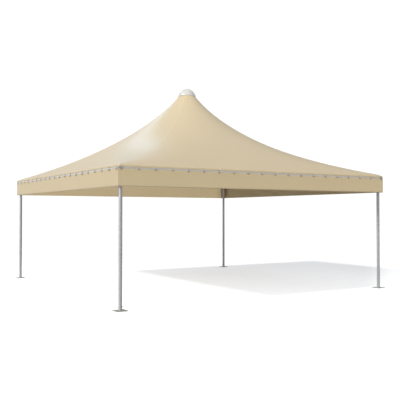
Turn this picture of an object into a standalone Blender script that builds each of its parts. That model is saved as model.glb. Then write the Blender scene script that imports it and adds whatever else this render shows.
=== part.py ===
"""Six metre marquee tent with a swept roof, as an assembly of its separate pieces.

The tent is square and has the same corner and the same side four times over, so each corner and
side is built once and set in a quarter, an empty turned about the tent's centre. The ground is at
z = 0, the tent's centre is at the origin, and its front side faces -Y.
"""

import math

import bmesh
import bpy
from mathutils import Matrix, Vector

# Driving dimensions of the tent, in metres
HALF_SIDE = 3.0
VALANCE_BOTTOM = 1.99
EAVE_HEIGHT = 2.335
CROWN_HEIGHT = 4.22
CROWN_RADIUS = 0.165
LEG_LINE = 2.927
RAIL_HEIGHT = 2.29

# Form of the roof sheet: how hollow its slope is, and how fast its round top turns square
SWEEP = 0.63
SQUARING = 2.35
SQUARE_FROM = 2.935
MOST_SQUARE = 400.0

# Sheets, and the clearance that neighbouring pieces keep
SHEET = 0.002
FOLD_RADIUS = 0.012
HEM_ROPE_RADIUS = 0.005
GAP = 0.0003

# How far one piece of a welded body reaches into the next
WELD_OVERLAP = 0.004

# Steel pipes: legs, beams and mast are one size, the lacing rail is one size smaller
PIPE_RADIUS = 0.0603 / 2
RAIL_RADIUS = 0.0424 / 2
PIPE_WALL = 0.0032
PIPE_SIDES = 20
SPIGOT_RADIUS = PIPE_RADIUS - PIPE_WALL - GAP
RAIL_SPIGOT_RADIUS = RAIL_RADIUS - PIPE_WALL - GAP

# Base plate
PLATE_SIDE = 0.200
PLATE_THICKNESS = 0.010
PLATE_CORNER = 0.012
ANCHOR_HOLE_RADIUS = 0.009
ANCHOR_HOLE_OFFSET = 0.070
FOOT_SPIGOT_TOP = 0.110

# Corner bracket, measured from the leg's axis
POST_BOTTOM = 2.262
POST_TOP = 2.350
SPIGOT_REACH = 0.150
ELBOW_REACH = 0.030
RAIL_SPIGOT_REACH = 0.100
BEAM_START = 0.0305
WEB_THICKNESS = 0.008

# Lugs that tie the lacing rail to the eave beam
RAIL_LUG_THICKNESS = 0.008
RAIL_LUG_WIDTH = 0.014

# Lugs and forks that join the roof cables
LUG_THICKNESS = 0.008
LUG_HEIGHT = 0.036
LUG_HOLE_RADIUS = 0.0073
LUG_END = 0.016
CORNER_LUG_HOLE = 0.068
CORNER_LUG_HEIGHT = 2.283
EAR_THICKNESS = 0.006
EAR_HALF_HEIGHT = 0.014
EAR_BACK = 0.014
FORK_THROAT = 0.018
FORK_END = 0.040
BRIDGE_INSET = 0.0005
PIN_RADIUS = 0.0067
PIN_PROUD = 0.003
ROPE_RADIUS = 0.006
STUD_RADIUS = 0.008
STUD_OUTSIDE_BARREL = 0.050
STUD_INSIDE_BARREL = 0.100
BARREL_RADIUS = 0.0135
BARREL_START = 0.034
BARREL_END = 0.260
BARREL_BORE_START = 0.130
SWAGE_RADIUS = 0.010
SWAGE_END = 0.110

# Mast and its ends
MAST_FOOT_LUG_HEIGHT = 2.215
MAST_FOOT_LUG_HOLE = 0.080
COLLAR_BOTTOM = 2.238
COLLAR_TOP = 2.250
COLLAR_RADIUS = 0.045
HUB_RADIUS = 0.028
MAST_SPIGOT_REACH = 0.120
HEAD_THICKNESS = 0.008
HEAD_BAND_HEIGHT = 0.050
HEAD_BAND_WALL = 0.005
HEAD_SOCKET_WALL = 0.005
HEAD_SOCKET_DEPTH = 0.150

# Cap over the crown
CAP_HEIGHT = 0.149
CAP_RADIUS = 0.168
CAP_RIM_WIDTH = 0.006
CAP_WALL = 0.003
CAP_FULLNESS = 1.8

# How finely round and curved forms are divided, and how much the roof's rows crowd to its crown
ROOF_SPOKES = 64
ROOF_ROWS = 13
ROW_CROWDING = 1.6
HEAD_SIDES = 28
SMALL_SIDES = 10
HOLE_SIDES = 12
ARC_STEPS = 3
HEM_STEPS = 6
DOME_STEPS = 6

# Colours as linear red, green and blue
STEEL_COLOUR = (0.42, 0.43, 0.45)
SHEET_COLOUR = (0.70, 0.60, 0.43)
CAP_COLOUR = (0.80, 0.80, 0.79)
ROPE_COLOUR = (0.33, 0.34, 0.35)

SIDE_NAMES = ("front", "right", "back", "left")
CORNER_NAMES = ("front_left", "front_right", "back_right", "back_left")


def clear_scene():
    for obj in list(bpy.data.objects):
        bpy.data.objects.remove(obj, do_unlink=True)


def make_material(name, colour, roughness, metallic):
    material = bpy.data.materials.new(name)
    material.use_nodes = True
    shader = material.node_tree.nodes["Principled BSDF"]
    shader.inputs["Base Color"].default_value = (*colour, 1.0)
    shader.inputs["Roughness"].default_value = roughness
    shader.inputs["Metallic"].default_value = metallic
    return material


def new_mesh(name, bm):
    bmesh.ops.recalc_face_normals(bm, faces=bm.faces)
    mesh = bpy.data.meshes.new(name)
    bm.to_mesh(mesh)
    bm.free()
    return mesh


def shade(mesh, sharp_degrees=35.0):
    mesh.shade_smooth()
    mesh.set_sharp_from_angle(angle=math.radians(sharp_degrees))


def place(name, mesh, material, parent=None):
    shade(mesh)
    if not mesh.materials:
        mesh.materials.append(material)
    obj = bpy.data.objects.new(name, mesh)
    obj.parent = parent
    bpy.context.scene.collection.objects.link(obj)
    return obj


def make_quarter(index):
    """An empty at the tent's centre, turned so that its -Y side is side number index."""
    quarter = bpy.data.objects.new(f"quarter_{index}", None)
    quarter.rotation_euler.z = index * math.pi / 2
    bpy.context.scene.collection.objects.link(quarter)
    return quarter


def ring_points(radius, sides, place_point):
    """Points round a circle, each put in space by place_point(across, up)."""
    turns = [math.tau * i / sides for i in range(sides)]
    return [place_point(radius * math.cos(t), radius * math.sin(t)) for t in turns]


def loft(name, rings, closed_loop=False):
    """A skin over rings of equally many points, capped, or with its last ring joined to its first."""
    bm = bmesh.new()
    rows = [[bm.verts.new(point) for point in ring] for ring in rings]
    following = rows[1:] + rows[:1] if closed_loop else rows[1:]
    for row, after in zip(rows, following):
        for i, vert in enumerate(row):
            j = (i + 1) % len(row)
            bm.faces.new((vert, row[j], after[j], after[i]))
    if not closed_loop:
        bm.faces.new(rows[0])
        bm.faces.new(rows[-1])
    return new_mesh(name, bm)


def split_quads(mesh):
    """Splits each quad on its shorter diagonal, so both faces of a thin curved sheet split alike."""
    bm = bmesh.new()
    bm.from_mesh(mesh)
    bmesh.ops.triangulate(bm, faces=bm.faces, quad_method="SHORT_EDGE")
    return new_mesh(mesh.name, bm)


def turn(name, profile, sides):
    """A body of revolution about Z from (radius, height) points that start and end on the axis."""
    bm = bmesh.new()
    verts = [bm.verts.new((radius, 0.0, height)) for radius, height in profile]
    edges = [bm.edges.new(pair) for pair in zip(verts, verts[1:])]
    bmesh.ops.spin(
        bm,
        geom=verts + edges,
        cent=(0.0, 0.0, 0.0),
        axis=(0.0, 0.0, 1.0),
        angle=math.tau,
        steps=sides,
        use_merge=True,
    )
    bmesh.ops.remove_doubles(bm, verts=bm.verts, dist=1e-6)
    return new_mesh(name, bm)


def rod(name, radius, start, end, axis="Z", sides=PIPE_SIDES):
    """A solid round bar along an axis, between two places on it."""
    return loft(name, [ring_points(radius, sides, along(axis, at)) for at in (start, end)])


def pipe(name, radius, start, end, axis="Z"):
    """A round pipe, open at both ends."""
    bore = radius - PIPE_WALL
    stations = ((radius, start), (radius, end), (bore, end), (bore, start))
    rings = [ring_points(r, PIPE_SIDES, along(axis, at)) for r, at in stations]
    return loft(name, rings, closed_loop=True)


def along(axis, at):
    """Puts a cross-section point at a place along the X, Y or Z axis."""
    if axis == "X":
        return lambda across, up: Vector((at, across, up))
    if axis == "Y":
        return lambda across, up: Vector((across, at, up))
    return lambda across, up: Vector((across, up, at))


def block(name, low, high, upright_bevel=0.0):
    """A box between two corners, with its upright edges rounded off if wanted."""
    low, high = Vector(low), Vector(high)
    bm = bmesh.new()
    bmesh.ops.create_cube(bm, size=1.0)
    size = high - low
    bmesh.ops.transform(bm, matrix=Matrix.Diagonal((*size, 1.0)), verts=bm.verts)
    bmesh.ops.translate(bm, vec=(low + high) / 2, verts=bm.verts)
    if upright_bevel:
        upright = [e for e in bm.edges if abs(e.verts[0].co.z - e.verts[1].co.z) > size.z / 2]
        bmesh.ops.bevel(
            bm, geom=upright, offset=upright_bevel, segments=2, affect="EDGES", profile=0.5
        )
    return new_mesh(name, bm)


def moved(mesh, shift=(0.0, 0.0, 0.0), turn_z=0.0):
    """Turns a mesh about Z, then shifts it."""
    mesh.transform(Matrix.Translation(shift) @ Matrix.Rotation(turn_z, 4, "Z"))
    return mesh


def weld(name, base, added=(), cut=()):
    """One body from a base mesh with other meshes joined to it and then others cut from it."""
    link = bpy.context.scene.collection.objects.link
    body = bpy.data.objects.new(name, base)
    link(body)
    helpers = []
    for meshes, operation in ((added, "UNION"), (cut, "DIFFERENCE")):
        for mesh in meshes:
            helper = bpy.data.objects.new(f"{name}_{operation.lower()}", mesh)
            helper.hide_render = True
            helper.display_type = "WIRE"
            link(helper)
            helpers.append(helper)
            modifier = body.modifiers.new(operation.title(), "BOOLEAN")
            modifier.operation = operation
            modifier.solver = "EXACT"
            modifier.object = helper
    graph = bpy.context.evaluated_depsgraph_get()
    result = bpy.data.meshes.new_from_object(body.evaluated_get(graph))
    for obj in (body, *helpers):
        bpy.data.objects.remove(obj, do_unlink=True)
    return result


def roof_height(half_width):
    """Height of the roof sheet's face where its level outline is this far from the centre."""
    fall = half_width**SWEEP - CROWN_RADIUS**SWEEP
    whole_fall = HALF_SIDE**SWEEP - CROWN_RADIUS**SWEEP
    return CROWN_HEIGHT - (CROWN_HEIGHT - EAVE_HEIGHT) * fall / whole_fall


def roof_slope(half_width):
    """Angle by which the sheet falls outwards at that outline."""
    whole_fall = HALF_SIDE**SWEEP - CROWN_RADIUS**SWEEP
    fall_rate = SWEEP * half_width ** (SWEEP - 1) / whole_fall
    return math.atan((CROWN_HEIGHT - EAVE_HEIGHT) * fall_rate)


# Rounds in which the place where a pipe touches the sheet is found
SEAT_ROUNDS = 4


def seat_under_roof(line, radius):
    """Height of a level pipe on this line that the roof sheet's inner face just clears."""
    reach = radius + SHEET + GAP
    slope = roof_slope(line)
    for _ in range(SEAT_ROUNDS):
        slope = roof_slope(line + reach * math.sin(slope))
    return roof_height(line + reach * math.sin(slope)) - reach * math.cos(slope)


BEAM_HEIGHT = seat_under_roof(LEG_LINE, PIPE_RADIUS)
SHEET_INNER_FACE = HALF_SIDE - SHEET
RAIL_LINE = SHEET_INNER_FACE - GAP - RAIL_RADIUS
HEM_ROPE_LINE = HALF_SIDE - HEM_ROPE_RADIUS
HEM_ROPE_OFFSET = math.sqrt(
    (RAIL_RADIUS + HEM_ROPE_RADIUS + GAP) ** 2 - (HEM_ROPE_LINE - RAIL_LINE) ** 2
)


def level_outline(half_width, height, line):
    """A level ring of the roof: round at the crown, square from the beams outwards.

    Each point lies on a curve |x|^n + |y|^n = half_width^n, whose power n grows with the line of
    the sheet that the ring is on.
    """
    share = min(1.0, line / SQUARE_FROM)
    power = min(MOST_SQUARE, 2.0 / max(1.0 - share**SQUARING, 1e-6))
    points = []
    for i in range(ROOF_SPOKES):
        turned = math.tau * i / ROOF_SPOKES
        across, up = abs(math.cos(turned)), abs(math.sin(turned))
        larger = max(across, up)
        stretch = larger * ((across / larger) ** power + (up / larger) ** power) ** (1 / power)
        if share >= 1.0:
            stretch = larger
        reach = half_width / stretch
        points.append((reach * math.cos(turned), reach * math.sin(turned), height))
    return points


def hem_arc(start_degrees, end_degrees, steps):
    """Offsets round the rope in a hem, from one angle to another."""
    for i in range(steps + 1):
        turned = math.radians(start_degrees + (end_degrees - start_degrees) * i / steps)
        yield HEM_ROPE_RADIUS * math.cos(turned), HEM_ROPE_RADIUS * math.sin(turned)


# Angle at which the round hem meets the sheet's inner face
HEM_MEETS_SHEET = math.degrees(math.acos((SHEET_INNER_FACE - HEM_ROPE_LINE) / HEM_ROPE_RADIUS))


def make_roof_sheet(material):
    """The roof sheet with its thickness: crown to eave, folded down over the rail to a roped hem."""
    fold_slope = roof_slope(HALF_SIDE)
    fold_line = HALF_SIDE - FOLD_RADIUS
    fold_start = fold_line + FOLD_RADIUS * math.sin(fold_slope)
    fold_height = roof_height(fold_start) - FOLD_RADIUS * math.cos(fold_slope)
    outer, inner = [], []
    for i in range(ROOF_ROWS + 1):
        share = (i / ROOF_ROWS) ** ROW_CROWDING
        line = CROWN_RADIUS + (SQUARE_FROM - CROWN_RADIUS) * share
        slope = roof_slope(line)
        height = roof_height(line)
        outer.append((line, height, line))
        inset = (line - SHEET * math.sin(slope), height - SHEET * math.cos(slope), line)
        inner.append(inset)
    for i in range(ARC_STEPS + 1):
        turned = (math.pi / 2 - fold_slope) * (1 - i / ARC_STEPS)
        for rows, radius in ((outer, FOLD_RADIUS), (inner, FOLD_RADIUS - SHEET)):
            line = fold_line + radius * math.cos(turned)
            rows.append((line, fold_height + radius * math.sin(turned), HALF_SIDE))
    rope_height = RAIL_HEIGHT + HEM_ROPE_OFFSET
    for across, up in hem_arc(0.0, HEM_MEETS_SHEET - 360.0, HEM_STEPS):
        outer.append((HEM_ROPE_LINE + across, rope_height + up, HALF_SIDE))
    rings = [level_outline(*row) for row in outer + inner[::-1]]
    sheet = split_quads(loft("roof_sheet", rings, closed_loop=True))
    return place("roof_sheet", sheet, material)


def make_valance_mesh():
    """The front valance: a flat sheet whose roped top hem bears on the lacing rail."""
    rope_height = RAIL_HEIGHT - HEM_ROPE_OFFSET
    section = [(SHEET_INNER_FACE, VALANCE_BOTTOM), (HALF_SIDE, VALANCE_BOTTOM)]
    for across, up in hem_arc(0.0, 360.0 - HEM_MEETS_SHEET, HEM_STEPS):
        section.append((HEM_ROPE_LINE + across, rope_height + up))
    rings = []
    for side in (-1, 1):
        rings.append([(side * (out - GAP), -out, height) for out, height in section])
    return loft("valance", rings)


def make_base_plate_mesh():
    half = PLATE_SIDE / 2
    plate = block(
        "plate", (-half, -half, 0.0), (half, half, PLATE_THICKNESS), upright_bevel=PLATE_CORNER
    )
    spigot = rod("spigot", SPIGOT_RADIUS, PLATE_THICKNESS / 2, FOOT_SPIGOT_TOP, "Z", SMALL_SIDES)
    holes = []
    for x in (-ANCHOR_HOLE_OFFSET, ANCHOR_HOLE_OFFSET):
        for y in (-ANCHOR_HOLE_OFFSET, ANCHOR_HOLE_OFFSET):
            hole = rod(
                "hole", ANCHOR_HOLE_RADIUS, -PLATE_THICKNESS, 2 * PLATE_THICKNESS, "Z", SMALL_SIDES
            )
            holes.append(moved(hole, (x, y, 0.0)))
    return weld("base_plate", plate, [spigot], holes)


def make_rail_elbow():
    """The mitred rail corner outside the leg, with its ends pointing along +X and +Y."""
    offset = RAIL_LINE - LEG_LINE
    mitre = ring_points(
        RAIL_RADIUS, PIPE_SIDES, lambda across, up: Vector((-offset - across, -offset - across, up))
    )
    along_x = ring_points(
        RAIL_RADIUS, PIPE_SIDES, lambda across, up: Vector((ELBOW_REACH, -offset - across, up))
    )
    along_y = ring_points(
        RAIL_RADIUS, PIPE_SIDES, lambda across, up: Vector((-offset - across, ELBOW_REACH, up))
    )
    return moved(loft("elbow", [along_x, mitre, along_y]), (0.0, 0.0, RAIL_HEIGHT))


def make_lug(reach, height):
    """An upright plate from the axis out along +X, with its pin hole near the end."""
    half = LUG_THICKNESS / 2
    return block(
        "lug", (0.0, -half, height - LUG_HEIGHT / 2), (reach + LUG_END, half, height + LUG_HEIGHT / 2)
    )


def make_lug_hole(reach, height):
    hole = rod("lug_hole", LUG_HOLE_RADIUS, -LUG_THICKNESS, LUG_THICKNESS, "Y", HOLE_SIDES)
    return moved(hole, (reach, 0.0, height))


def make_corner_bracket_mesh():
    """The corner fitting of the front left leg: post, spigots, rail elbow and cable lug."""
    offset = RAIL_LINE - LEG_LINE
    post = rod("post", PIPE_RADIUS, POST_BOTTOM, POST_TOP)
    beam_spigots = [
        moved(
            rod("spigot", SPIGOT_RADIUS, 0.0, SPIGOT_REACH, axis, SMALL_SIDES),
            (0.0, 0.0, BEAM_HEIGHT),
        )
        for axis in ("X", "Y")
    ]
    leg_spigot = rod(
        "spigot", SPIGOT_RADIUS, POST_BOTTOM - SPIGOT_REACH, POST_BOTTOM + GAP, "Z", SMALL_SIDES
    )
    rail_spigots = [
        moved(
            rod("spigot", RAIL_SPIGOT_RADIUS, 0.0, RAIL_SPIGOT_REACH, axis, SMALL_SIDES),
            (0.0, -offset, RAIL_HEIGHT) if axis == "X" else (-offset, 0.0, RAIL_HEIGHT),
        )
        for axis in ("X", "Y")
    ]
    half_web = WEB_THICKNESS / 2
    web = block(
        "web", (-offset, -offset, RAIL_HEIGHT - half_web), (0.0, 0.0, RAIL_HEIGHT + half_web)
    )
    lug = moved(make_lug(CORNER_LUG_HOLE, CORNER_LUG_HEIGHT), turn_z=math.pi / 4)
    hole = moved(make_lug_hole(CORNER_LUG_HOLE, CORNER_LUG_HEIGHT), turn_z=math.pi / 4)
    parts = [leg_spigot, *beam_spigots, make_rail_elbow(), *rail_spigots, web, lug]
    return weld("corner_bracket", post, parts, [hole])


def make_rail_mesh():
    """The front lacing rail, with the welded lugs that tie it to the eave beam behind it."""
    half_length = LEG_LINE - ELBOW_REACH - GAP
    rail = pipe("rail", RAIL_RADIUS, -half_length, half_length, "X")
    inward = Vector((RAIL_LINE - LEG_LINE, BEAM_HEIGHT - RAIL_HEIGHT))
    lean = math.atan2(inward.y, inward.x)
    lug_start = RAIL_RADIUS - PIPE_WALL / 2
    lug_end = inward.length - PIPE_RADIUS - GAP
    half, deep = RAIL_LUG_THICKNESS / 2, RAIL_LUG_WIDTH / 2
    lugs = []
    for place_x in (-LEG_LINE / 2, 0.0, LEG_LINE / 2):
        lug = block("rail_lug", (-half, lug_start, -deep), (half, lug_end, deep))
        lug.transform(Matrix.Translation((place_x, 0.0, 0.0)) @ Matrix.Rotation(lean, 4, "X"))
        lugs.append(lug)
    return weld("lacing_rail", rail, lugs)


def make_fork():
    """Parts of a fork end along +X: two ears either side of a lug, their bridge and the pin."""
    inner = LUG_THICKNESS / 2 + GAP
    outer = inner + EAR_THICKNESS
    ear = EAR_HALF_HEIGHT
    ears = [
        block("ear", (-EAR_BACK, min(a, b), -ear), (FORK_END, max(a, b), ear))
        for a, b in ((inner, outer), (-inner, -outer))
    ]
    across, up = outer - BRIDGE_INSET, ear - BRIDGE_INSET
    bridge = block(
        "bridge", (FORK_THROAT, -across, -up), (FORK_END - BRIDGE_INSET, across, up)
    )
    pin_end = outer + PIN_PROUD
    pin = rod("pin", PIN_RADIUS, -pin_end, pin_end, "Y", HOLE_SIDES)
    return [bridge, *ears, pin]


def make_turnbuckle_mesh():
    """A barrel with a blind bore for the cable's stud, and a fork that holds the corner lug."""
    bridge, *rest = make_fork()
    barrel = rod("barrel", BARREL_RADIUS, BARREL_START, BARREL_END, "X", HOLE_SIDES)
    bore = rod(
        "bore", STUD_RADIUS + GAP, BARREL_BORE_START, BARREL_END + STUD_RADIUS, "X", HOLE_SIDES
    )
    return weld("turnbuckle", bridge, [*rest, barrel], [bore])


def make_cable_mesh(length):
    """A roof cable from the fork at the mast foot to the stud inside the turnbuckle."""
    bridge, *rest = make_fork()
    swage = rod("swage", SWAGE_RADIUS, FORK_END - WELD_OVERLAP, SWAGE_END, "X", HOLE_SIDES)
    barrel_mouth = length - BARREL_END
    stud_start = barrel_mouth - STUD_OUTSIDE_BARREL
    stud_end = barrel_mouth + STUD_INSIDE_BARREL
    rope_start, rope_end = SWAGE_END - WELD_OVERLAP, stud_start + WELD_OVERLAP
    rope = rod("rope", ROPE_RADIUS, rope_start, rope_end, "X", SMALL_SIDES)
    stud = rod("stud", STUD_RADIUS, stud_start, stud_end, "X", HOLE_SIDES)
    return weld("roof_cable", bridge, [*rest, swage, rope, stud])


def make_mast_foot_mesh():
    """The hub that the mast stands on, with four lugs for the cables."""
    hub_bottom = MAST_FOOT_LUG_HEIGHT - LUG_HEIGHT / 2 - WELD_OVERLAP
    inside_collar = COLLAR_BOTTOM + WELD_OVERLAP
    hub = rod("hub", HUB_RADIUS, hub_bottom, inside_collar)
    collar = rod("collar", COLLAR_RADIUS, COLLAR_BOTTOM, COLLAR_TOP)
    spigot_top = COLLAR_TOP + MAST_SPIGOT_REACH
    spigot = rod("spigot", SPIGOT_RADIUS, inside_collar, spigot_top, "Z", SMALL_SIDES)
    lugs, holes = [], []
    for i in range(4):
        turned = math.pi / 4 + i * math.pi / 2
        lugs.append(moved(make_lug(MAST_FOOT_LUG_HOLE, MAST_FOOT_LUG_HEIGHT), turn_z=turned))
        holes.append(moved(make_lug_hole(MAST_FOOT_LUG_HOLE, MAST_FOOT_LUG_HEIGHT), turn_z=turned))
    return weld("mast_foot", hub, [collar, spigot, *lugs], holes)


def make_mast_head_mesh(top, radius):
    """A turned plate with a rim band that the sheet's crown grips, and a socket over the mast."""
    under = top - HEAD_THICKNESS
    bore = PIPE_RADIUS + GAP
    socket = bore + HEAD_SOCKET_WALL
    profile = [
        (0.0, top),
        (radius, top),
        (radius, top - HEAD_BAND_HEIGHT),
        (radius - HEAD_BAND_WALL, top - HEAD_BAND_HEIGHT),
        (radius - HEAD_BAND_WALL, under),
        (socket, under),
        (socket, top - HEAD_SOCKET_DEPTH),
        (bore, top - HEAD_SOCKET_DEPTH),
        (bore, under),
        (0.0, under),
    ]
    return turn("mast_head", profile, HEAD_SIDES)


def make_cap_mesh():
    """A hollow dome whose rim sits on the top edge of the roof sheet."""
    outer, inner = [], []
    for i in range(DOME_STEPS + 1):
        turned = math.pi / 2 * i / DOME_STEPS
        across = math.sin(turned) ** (2 / CAP_FULLNESS)
        up = math.cos(turned) ** (2 / CAP_FULLNESS)
        outer.append((CAP_RADIUS * across, CAP_HEIGHT * up))
        inner.append(((CAP_RADIUS - CAP_RIM_WIDTH) * across, (CAP_HEIGHT - CAP_WALL) * up))
    base = CROWN_HEIGHT + GAP
    profile = [(radius, base + height) for radius, height in outer + inner[::-1]]
    return turn("top_cap", profile, HEAD_SIDES)


def build_quarters(steel, sheet, rope):
    """The four corners and sides, each set in its quarter."""
    plate = make_base_plate_mesh()
    leg = pipe("leg", PIPE_RADIUS, PLATE_THICKNESS + GAP, POST_BOTTOM - GAP)
    bracket = make_corner_bracket_mesh()
    half_beam = LEG_LINE - BEAM_START
    beam = pipe("eave_beam", PIPE_RADIUS, -half_beam, half_beam, "X")
    rail = make_rail_mesh()
    valance = make_valance_mesh()
    turnbuckle = make_turnbuckle_mesh()
    diagonal = LEG_LINE * math.sqrt(2)
    reach = diagonal - CORNER_LUG_HOLE - MAST_FOOT_LUG_HOLE
    rise = CORNER_LUG_HEIGHT - MAST_FOOT_LUG_HEIGHT
    cable = make_cable_mesh(math.hypot(reach, rise))
    climb = math.atan2(rise, reach)
    for index, (corner, side) in enumerate(zip(CORNER_NAMES, SIDE_NAMES)):
        quarter = make_quarter(index)
        for kind, mesh in (("base_plate", plate), ("leg", leg), ("corner_bracket", bracket)):
            piece = place(f"{kind}_{corner}", mesh, steel, quarter)
            piece.location = (-LEG_LINE, -LEG_LINE, 0.0)
        piece = place(f"eave_beam_{side}", beam, steel, quarter)
        piece.location = (0.0, -LEG_LINE, BEAM_HEIGHT)
        piece = place(f"lacing_rail_{side}", rail, steel, quarter)
        piece.location = (0.0, -RAIL_LINE, RAIL_HEIGHT)
        place(f"valance_{side}", valance, sheet, quarter)
        piece = place(f"turnbuckle_{corner}", turnbuckle, steel, quarter)
        corner_hole = (diagonal - CORNER_LUG_HOLE) / math.sqrt(2)
        piece.location = (-corner_hole, -corner_hole, CORNER_LUG_HEIGHT)
        piece.rotation_euler = (0.0, climb, math.pi / 4)
        piece = place(f"roof_cable_{corner}", cable, rope, quarter)
        foot_hole = MAST_FOOT_LUG_HOLE / math.sqrt(2)
        piece.location = (-foot_hole, -foot_hole, MAST_FOOT_LUG_HEIGHT)
        piece.rotation_euler = (0.0, -climb, math.pi / 4 + math.pi)


def build_centre(steel, sheet, cap):
    """The mast, its two ends, the roof sheet and the cap."""
    place("mast_foot", make_mast_foot_mesh(), steel)
    crown_slope = roof_slope(CROWN_RADIUS)
    head_radius = CROWN_RADIUS - SHEET * math.sin(crown_slope) - GAP
    head_top = CROWN_HEIGHT - SHEET * math.cos(crown_slope)
    mast_top = head_top - HEAD_THICKNESS - GAP
    place("mast", pipe("mast", PIPE_RADIUS, COLLAR_TOP + GAP, mast_top), steel)
    place("mast_head", make_mast_head_mesh(head_top, head_radius), steel)
    make_roof_sheet(sheet)
    place("top_cap", make_cap_mesh(), cap)


def main():
    clear_scene()
    steel = make_material("galvanised_steel", STEEL_COLOUR, 0.45, 0.9)
    sheet = make_material("coated_fabric", SHEET_COLOUR, 0.5, 0.0)
    cap = make_material("cap_plastic", CAP_COLOUR, 0.35, 0.0)
    rope = make_material("wire_rope", ROPE_COLOUR, 0.5, 0.9)
    build_quarters(steel, sheet, rope)
    build_centre(steel, sheet, cap)


main()
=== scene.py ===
"""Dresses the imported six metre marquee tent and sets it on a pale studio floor.

The frame holds the tent's solids. Over them go the fine pieces: the roof sheet and the valances
with their hems and welded seams, the loops and toggles that lace them to the rail, the pipes, the
softened fittings, the stranded cables, the bolts, the weld beads and the cap. Lengths are metres,
+Z is up, the ground is at z = 0 and the tent's centre is over the origin. The front side faces -Y.
Sides are numbered from the front round by the right, and corners from the front left.
"""

from math import acos, atan2, cos, degrees, hypot, pi, radians, sin, sqrt, tan, tau

import bmesh
import bpy
import numpy as np
from bpy.props import FloatProperty, FloatVectorProperty, IntProperty, PointerProperty
from bpy.types import Operator, Panel, PropertyGroup
from mathutils import Matrix, Vector


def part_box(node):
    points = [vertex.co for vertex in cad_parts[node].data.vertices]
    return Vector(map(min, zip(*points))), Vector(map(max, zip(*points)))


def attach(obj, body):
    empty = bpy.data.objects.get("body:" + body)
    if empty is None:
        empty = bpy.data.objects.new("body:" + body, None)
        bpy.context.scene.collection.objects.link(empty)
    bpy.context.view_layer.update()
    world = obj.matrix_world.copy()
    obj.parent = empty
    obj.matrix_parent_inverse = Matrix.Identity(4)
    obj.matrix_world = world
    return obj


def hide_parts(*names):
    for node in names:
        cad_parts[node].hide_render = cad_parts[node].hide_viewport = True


bl_info = {
    "name": "Marquee Tent Dressing",
    "version": (1, 0, 0),
    "blender": (4, 5, 0),
    "location": "View3D > Sidebar > Marquee",
    "description": "Fabric, lacing, steel and studio stage for a six metre marquee tent",
    "category": "Object",
}

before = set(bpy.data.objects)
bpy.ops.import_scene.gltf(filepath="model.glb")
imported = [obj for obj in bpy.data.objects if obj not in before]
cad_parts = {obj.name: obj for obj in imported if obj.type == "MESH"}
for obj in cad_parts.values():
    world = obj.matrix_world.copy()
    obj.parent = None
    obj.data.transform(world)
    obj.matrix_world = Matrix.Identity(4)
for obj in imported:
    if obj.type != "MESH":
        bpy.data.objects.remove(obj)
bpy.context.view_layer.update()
BODY = "root"
STEEL, FABRIC, PLASTIC, WIRE = "galvanised_steel", "coated_fabric", "cap_plastic", "wire_rope"
SIDES = ("front", "right", "back", "left")
CORNERS = ("front_left", "front_right", "back_right", "back_left")

# Lines and heights of the frame that the fine pieces keep to
HALF_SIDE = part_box("roof_sheet")[1].x
CROWN_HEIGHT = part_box("roof_sheet")[1].z
VALANCE_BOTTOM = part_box("valance_front")[0].z
EAVE_HEIGHT = 2.335
CROWN_RADIUS = 0.165
LEG_LINE = 2.927
RAIL_HEIGHT = 2.29
RAIL_LINE = 2.9765
BEAM_HEIGHT = (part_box("eave_beam_front")[0].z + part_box("eave_beam_front")[1].z) / 2
PIPE_RADIUS = 0.03015
RAIL_RADIUS = 0.0212
PIPE_WALL = 0.0032

# Form of the roof sheet, as in the frame
SWEEP = 0.63
SQUARING = 2.35
SQUARE_FROM = 2.935
MOST_SQUARE = 400.0
FOLD_RADIUS = 0.012

# Ropes in the hems: the angle is where the rope's round meets the sheet's inner face
HEM_ROPE_RADIUS = 0.005
HEM_ROPE_LINE = HALF_SIDE - HEM_ROPE_RADIUS
ROOF_ROPE_HEIGHT = RAIL_HEIGHT + 0.01897
VALANCE_ROPE_HEIGHT = RAIL_HEIGHT - 0.01897
HEM_MEETS = degrees(acos((HEM_ROPE_RADIUS - 0.002) / HEM_ROPE_RADIUS))


# Sizes and colours that a user may change


def length_property(name, description, default, low, high):
    return FloatProperty(
        name=name, description=description, default=default, min=low, max=high, unit="LENGTH"
    )


def colour_property(name, description, default):
    return FloatVectorProperty(
        name=name, description=description, default=default, subtype="COLOR", min=0.0, max=1.0
    )


def light_property(name, description, default):
    return FloatProperty(name=name, description=description, default=default, min=0.0)


class MarqueeSizes(PropertyGroup):
    tie_pitch: length_property(
        "Tie pitch", "Distance between neighbouring ties along the eave", 0.31, 0.2, 0.6
    )
    ties_a_side: IntProperty(
        name="Ties a side", description="Number of ties on each side", default=20, min=4, max=28
    )
    toggle_width: length_property(
        "Toggle width", "Width of the oval toggle on each tie", 0.038, 0.01, 0.06
    )
    pinch_depth: length_property(
        "Pinch depth", "How far each tie draws the roof's hem in", 0.003, 0.0, 0.01
    )
    cloth_thickness: length_property(
        "Cloth thickness", "Thickness of the coated cloth as it is drawn", 0.0012, 0.0005, 0.002
    )
    hem_width: length_property(
        "Hem width", "Width of the valance's turned lower hem", 0.035, 0.01, 0.08
    )
    strand_lay: length_property(
        "Strand lay", "Length in which a cable's strands turn once", 0.075, 0.03, 0.2
    )


class MarqueeColours(PropertyGroup):
    cloth: colour_property("Cloth", "Sand colour of the coated cloth", (0.56, 0.453, 0.277))
    zinc: colour_property("Zinc", "Dull grey of the galvanised steel", (0.45, 0.455, 0.465))
    rail: colour_property("Rail", "Lighter grey of the lacing rails", (0.67, 0.65, 0.62))
    cap: colour_property("Cap", "White of the moulded cap", (0.57, 0.56, 0.535))
    toggle: colour_property("Toggle", "Grey brown of the toggles on the ties", (0.20, 0.18, 0.155))
    elastic: colour_property("Elastic", "Pale grey of the elastic loops", (0.52, 0.49, 0.43))


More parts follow.
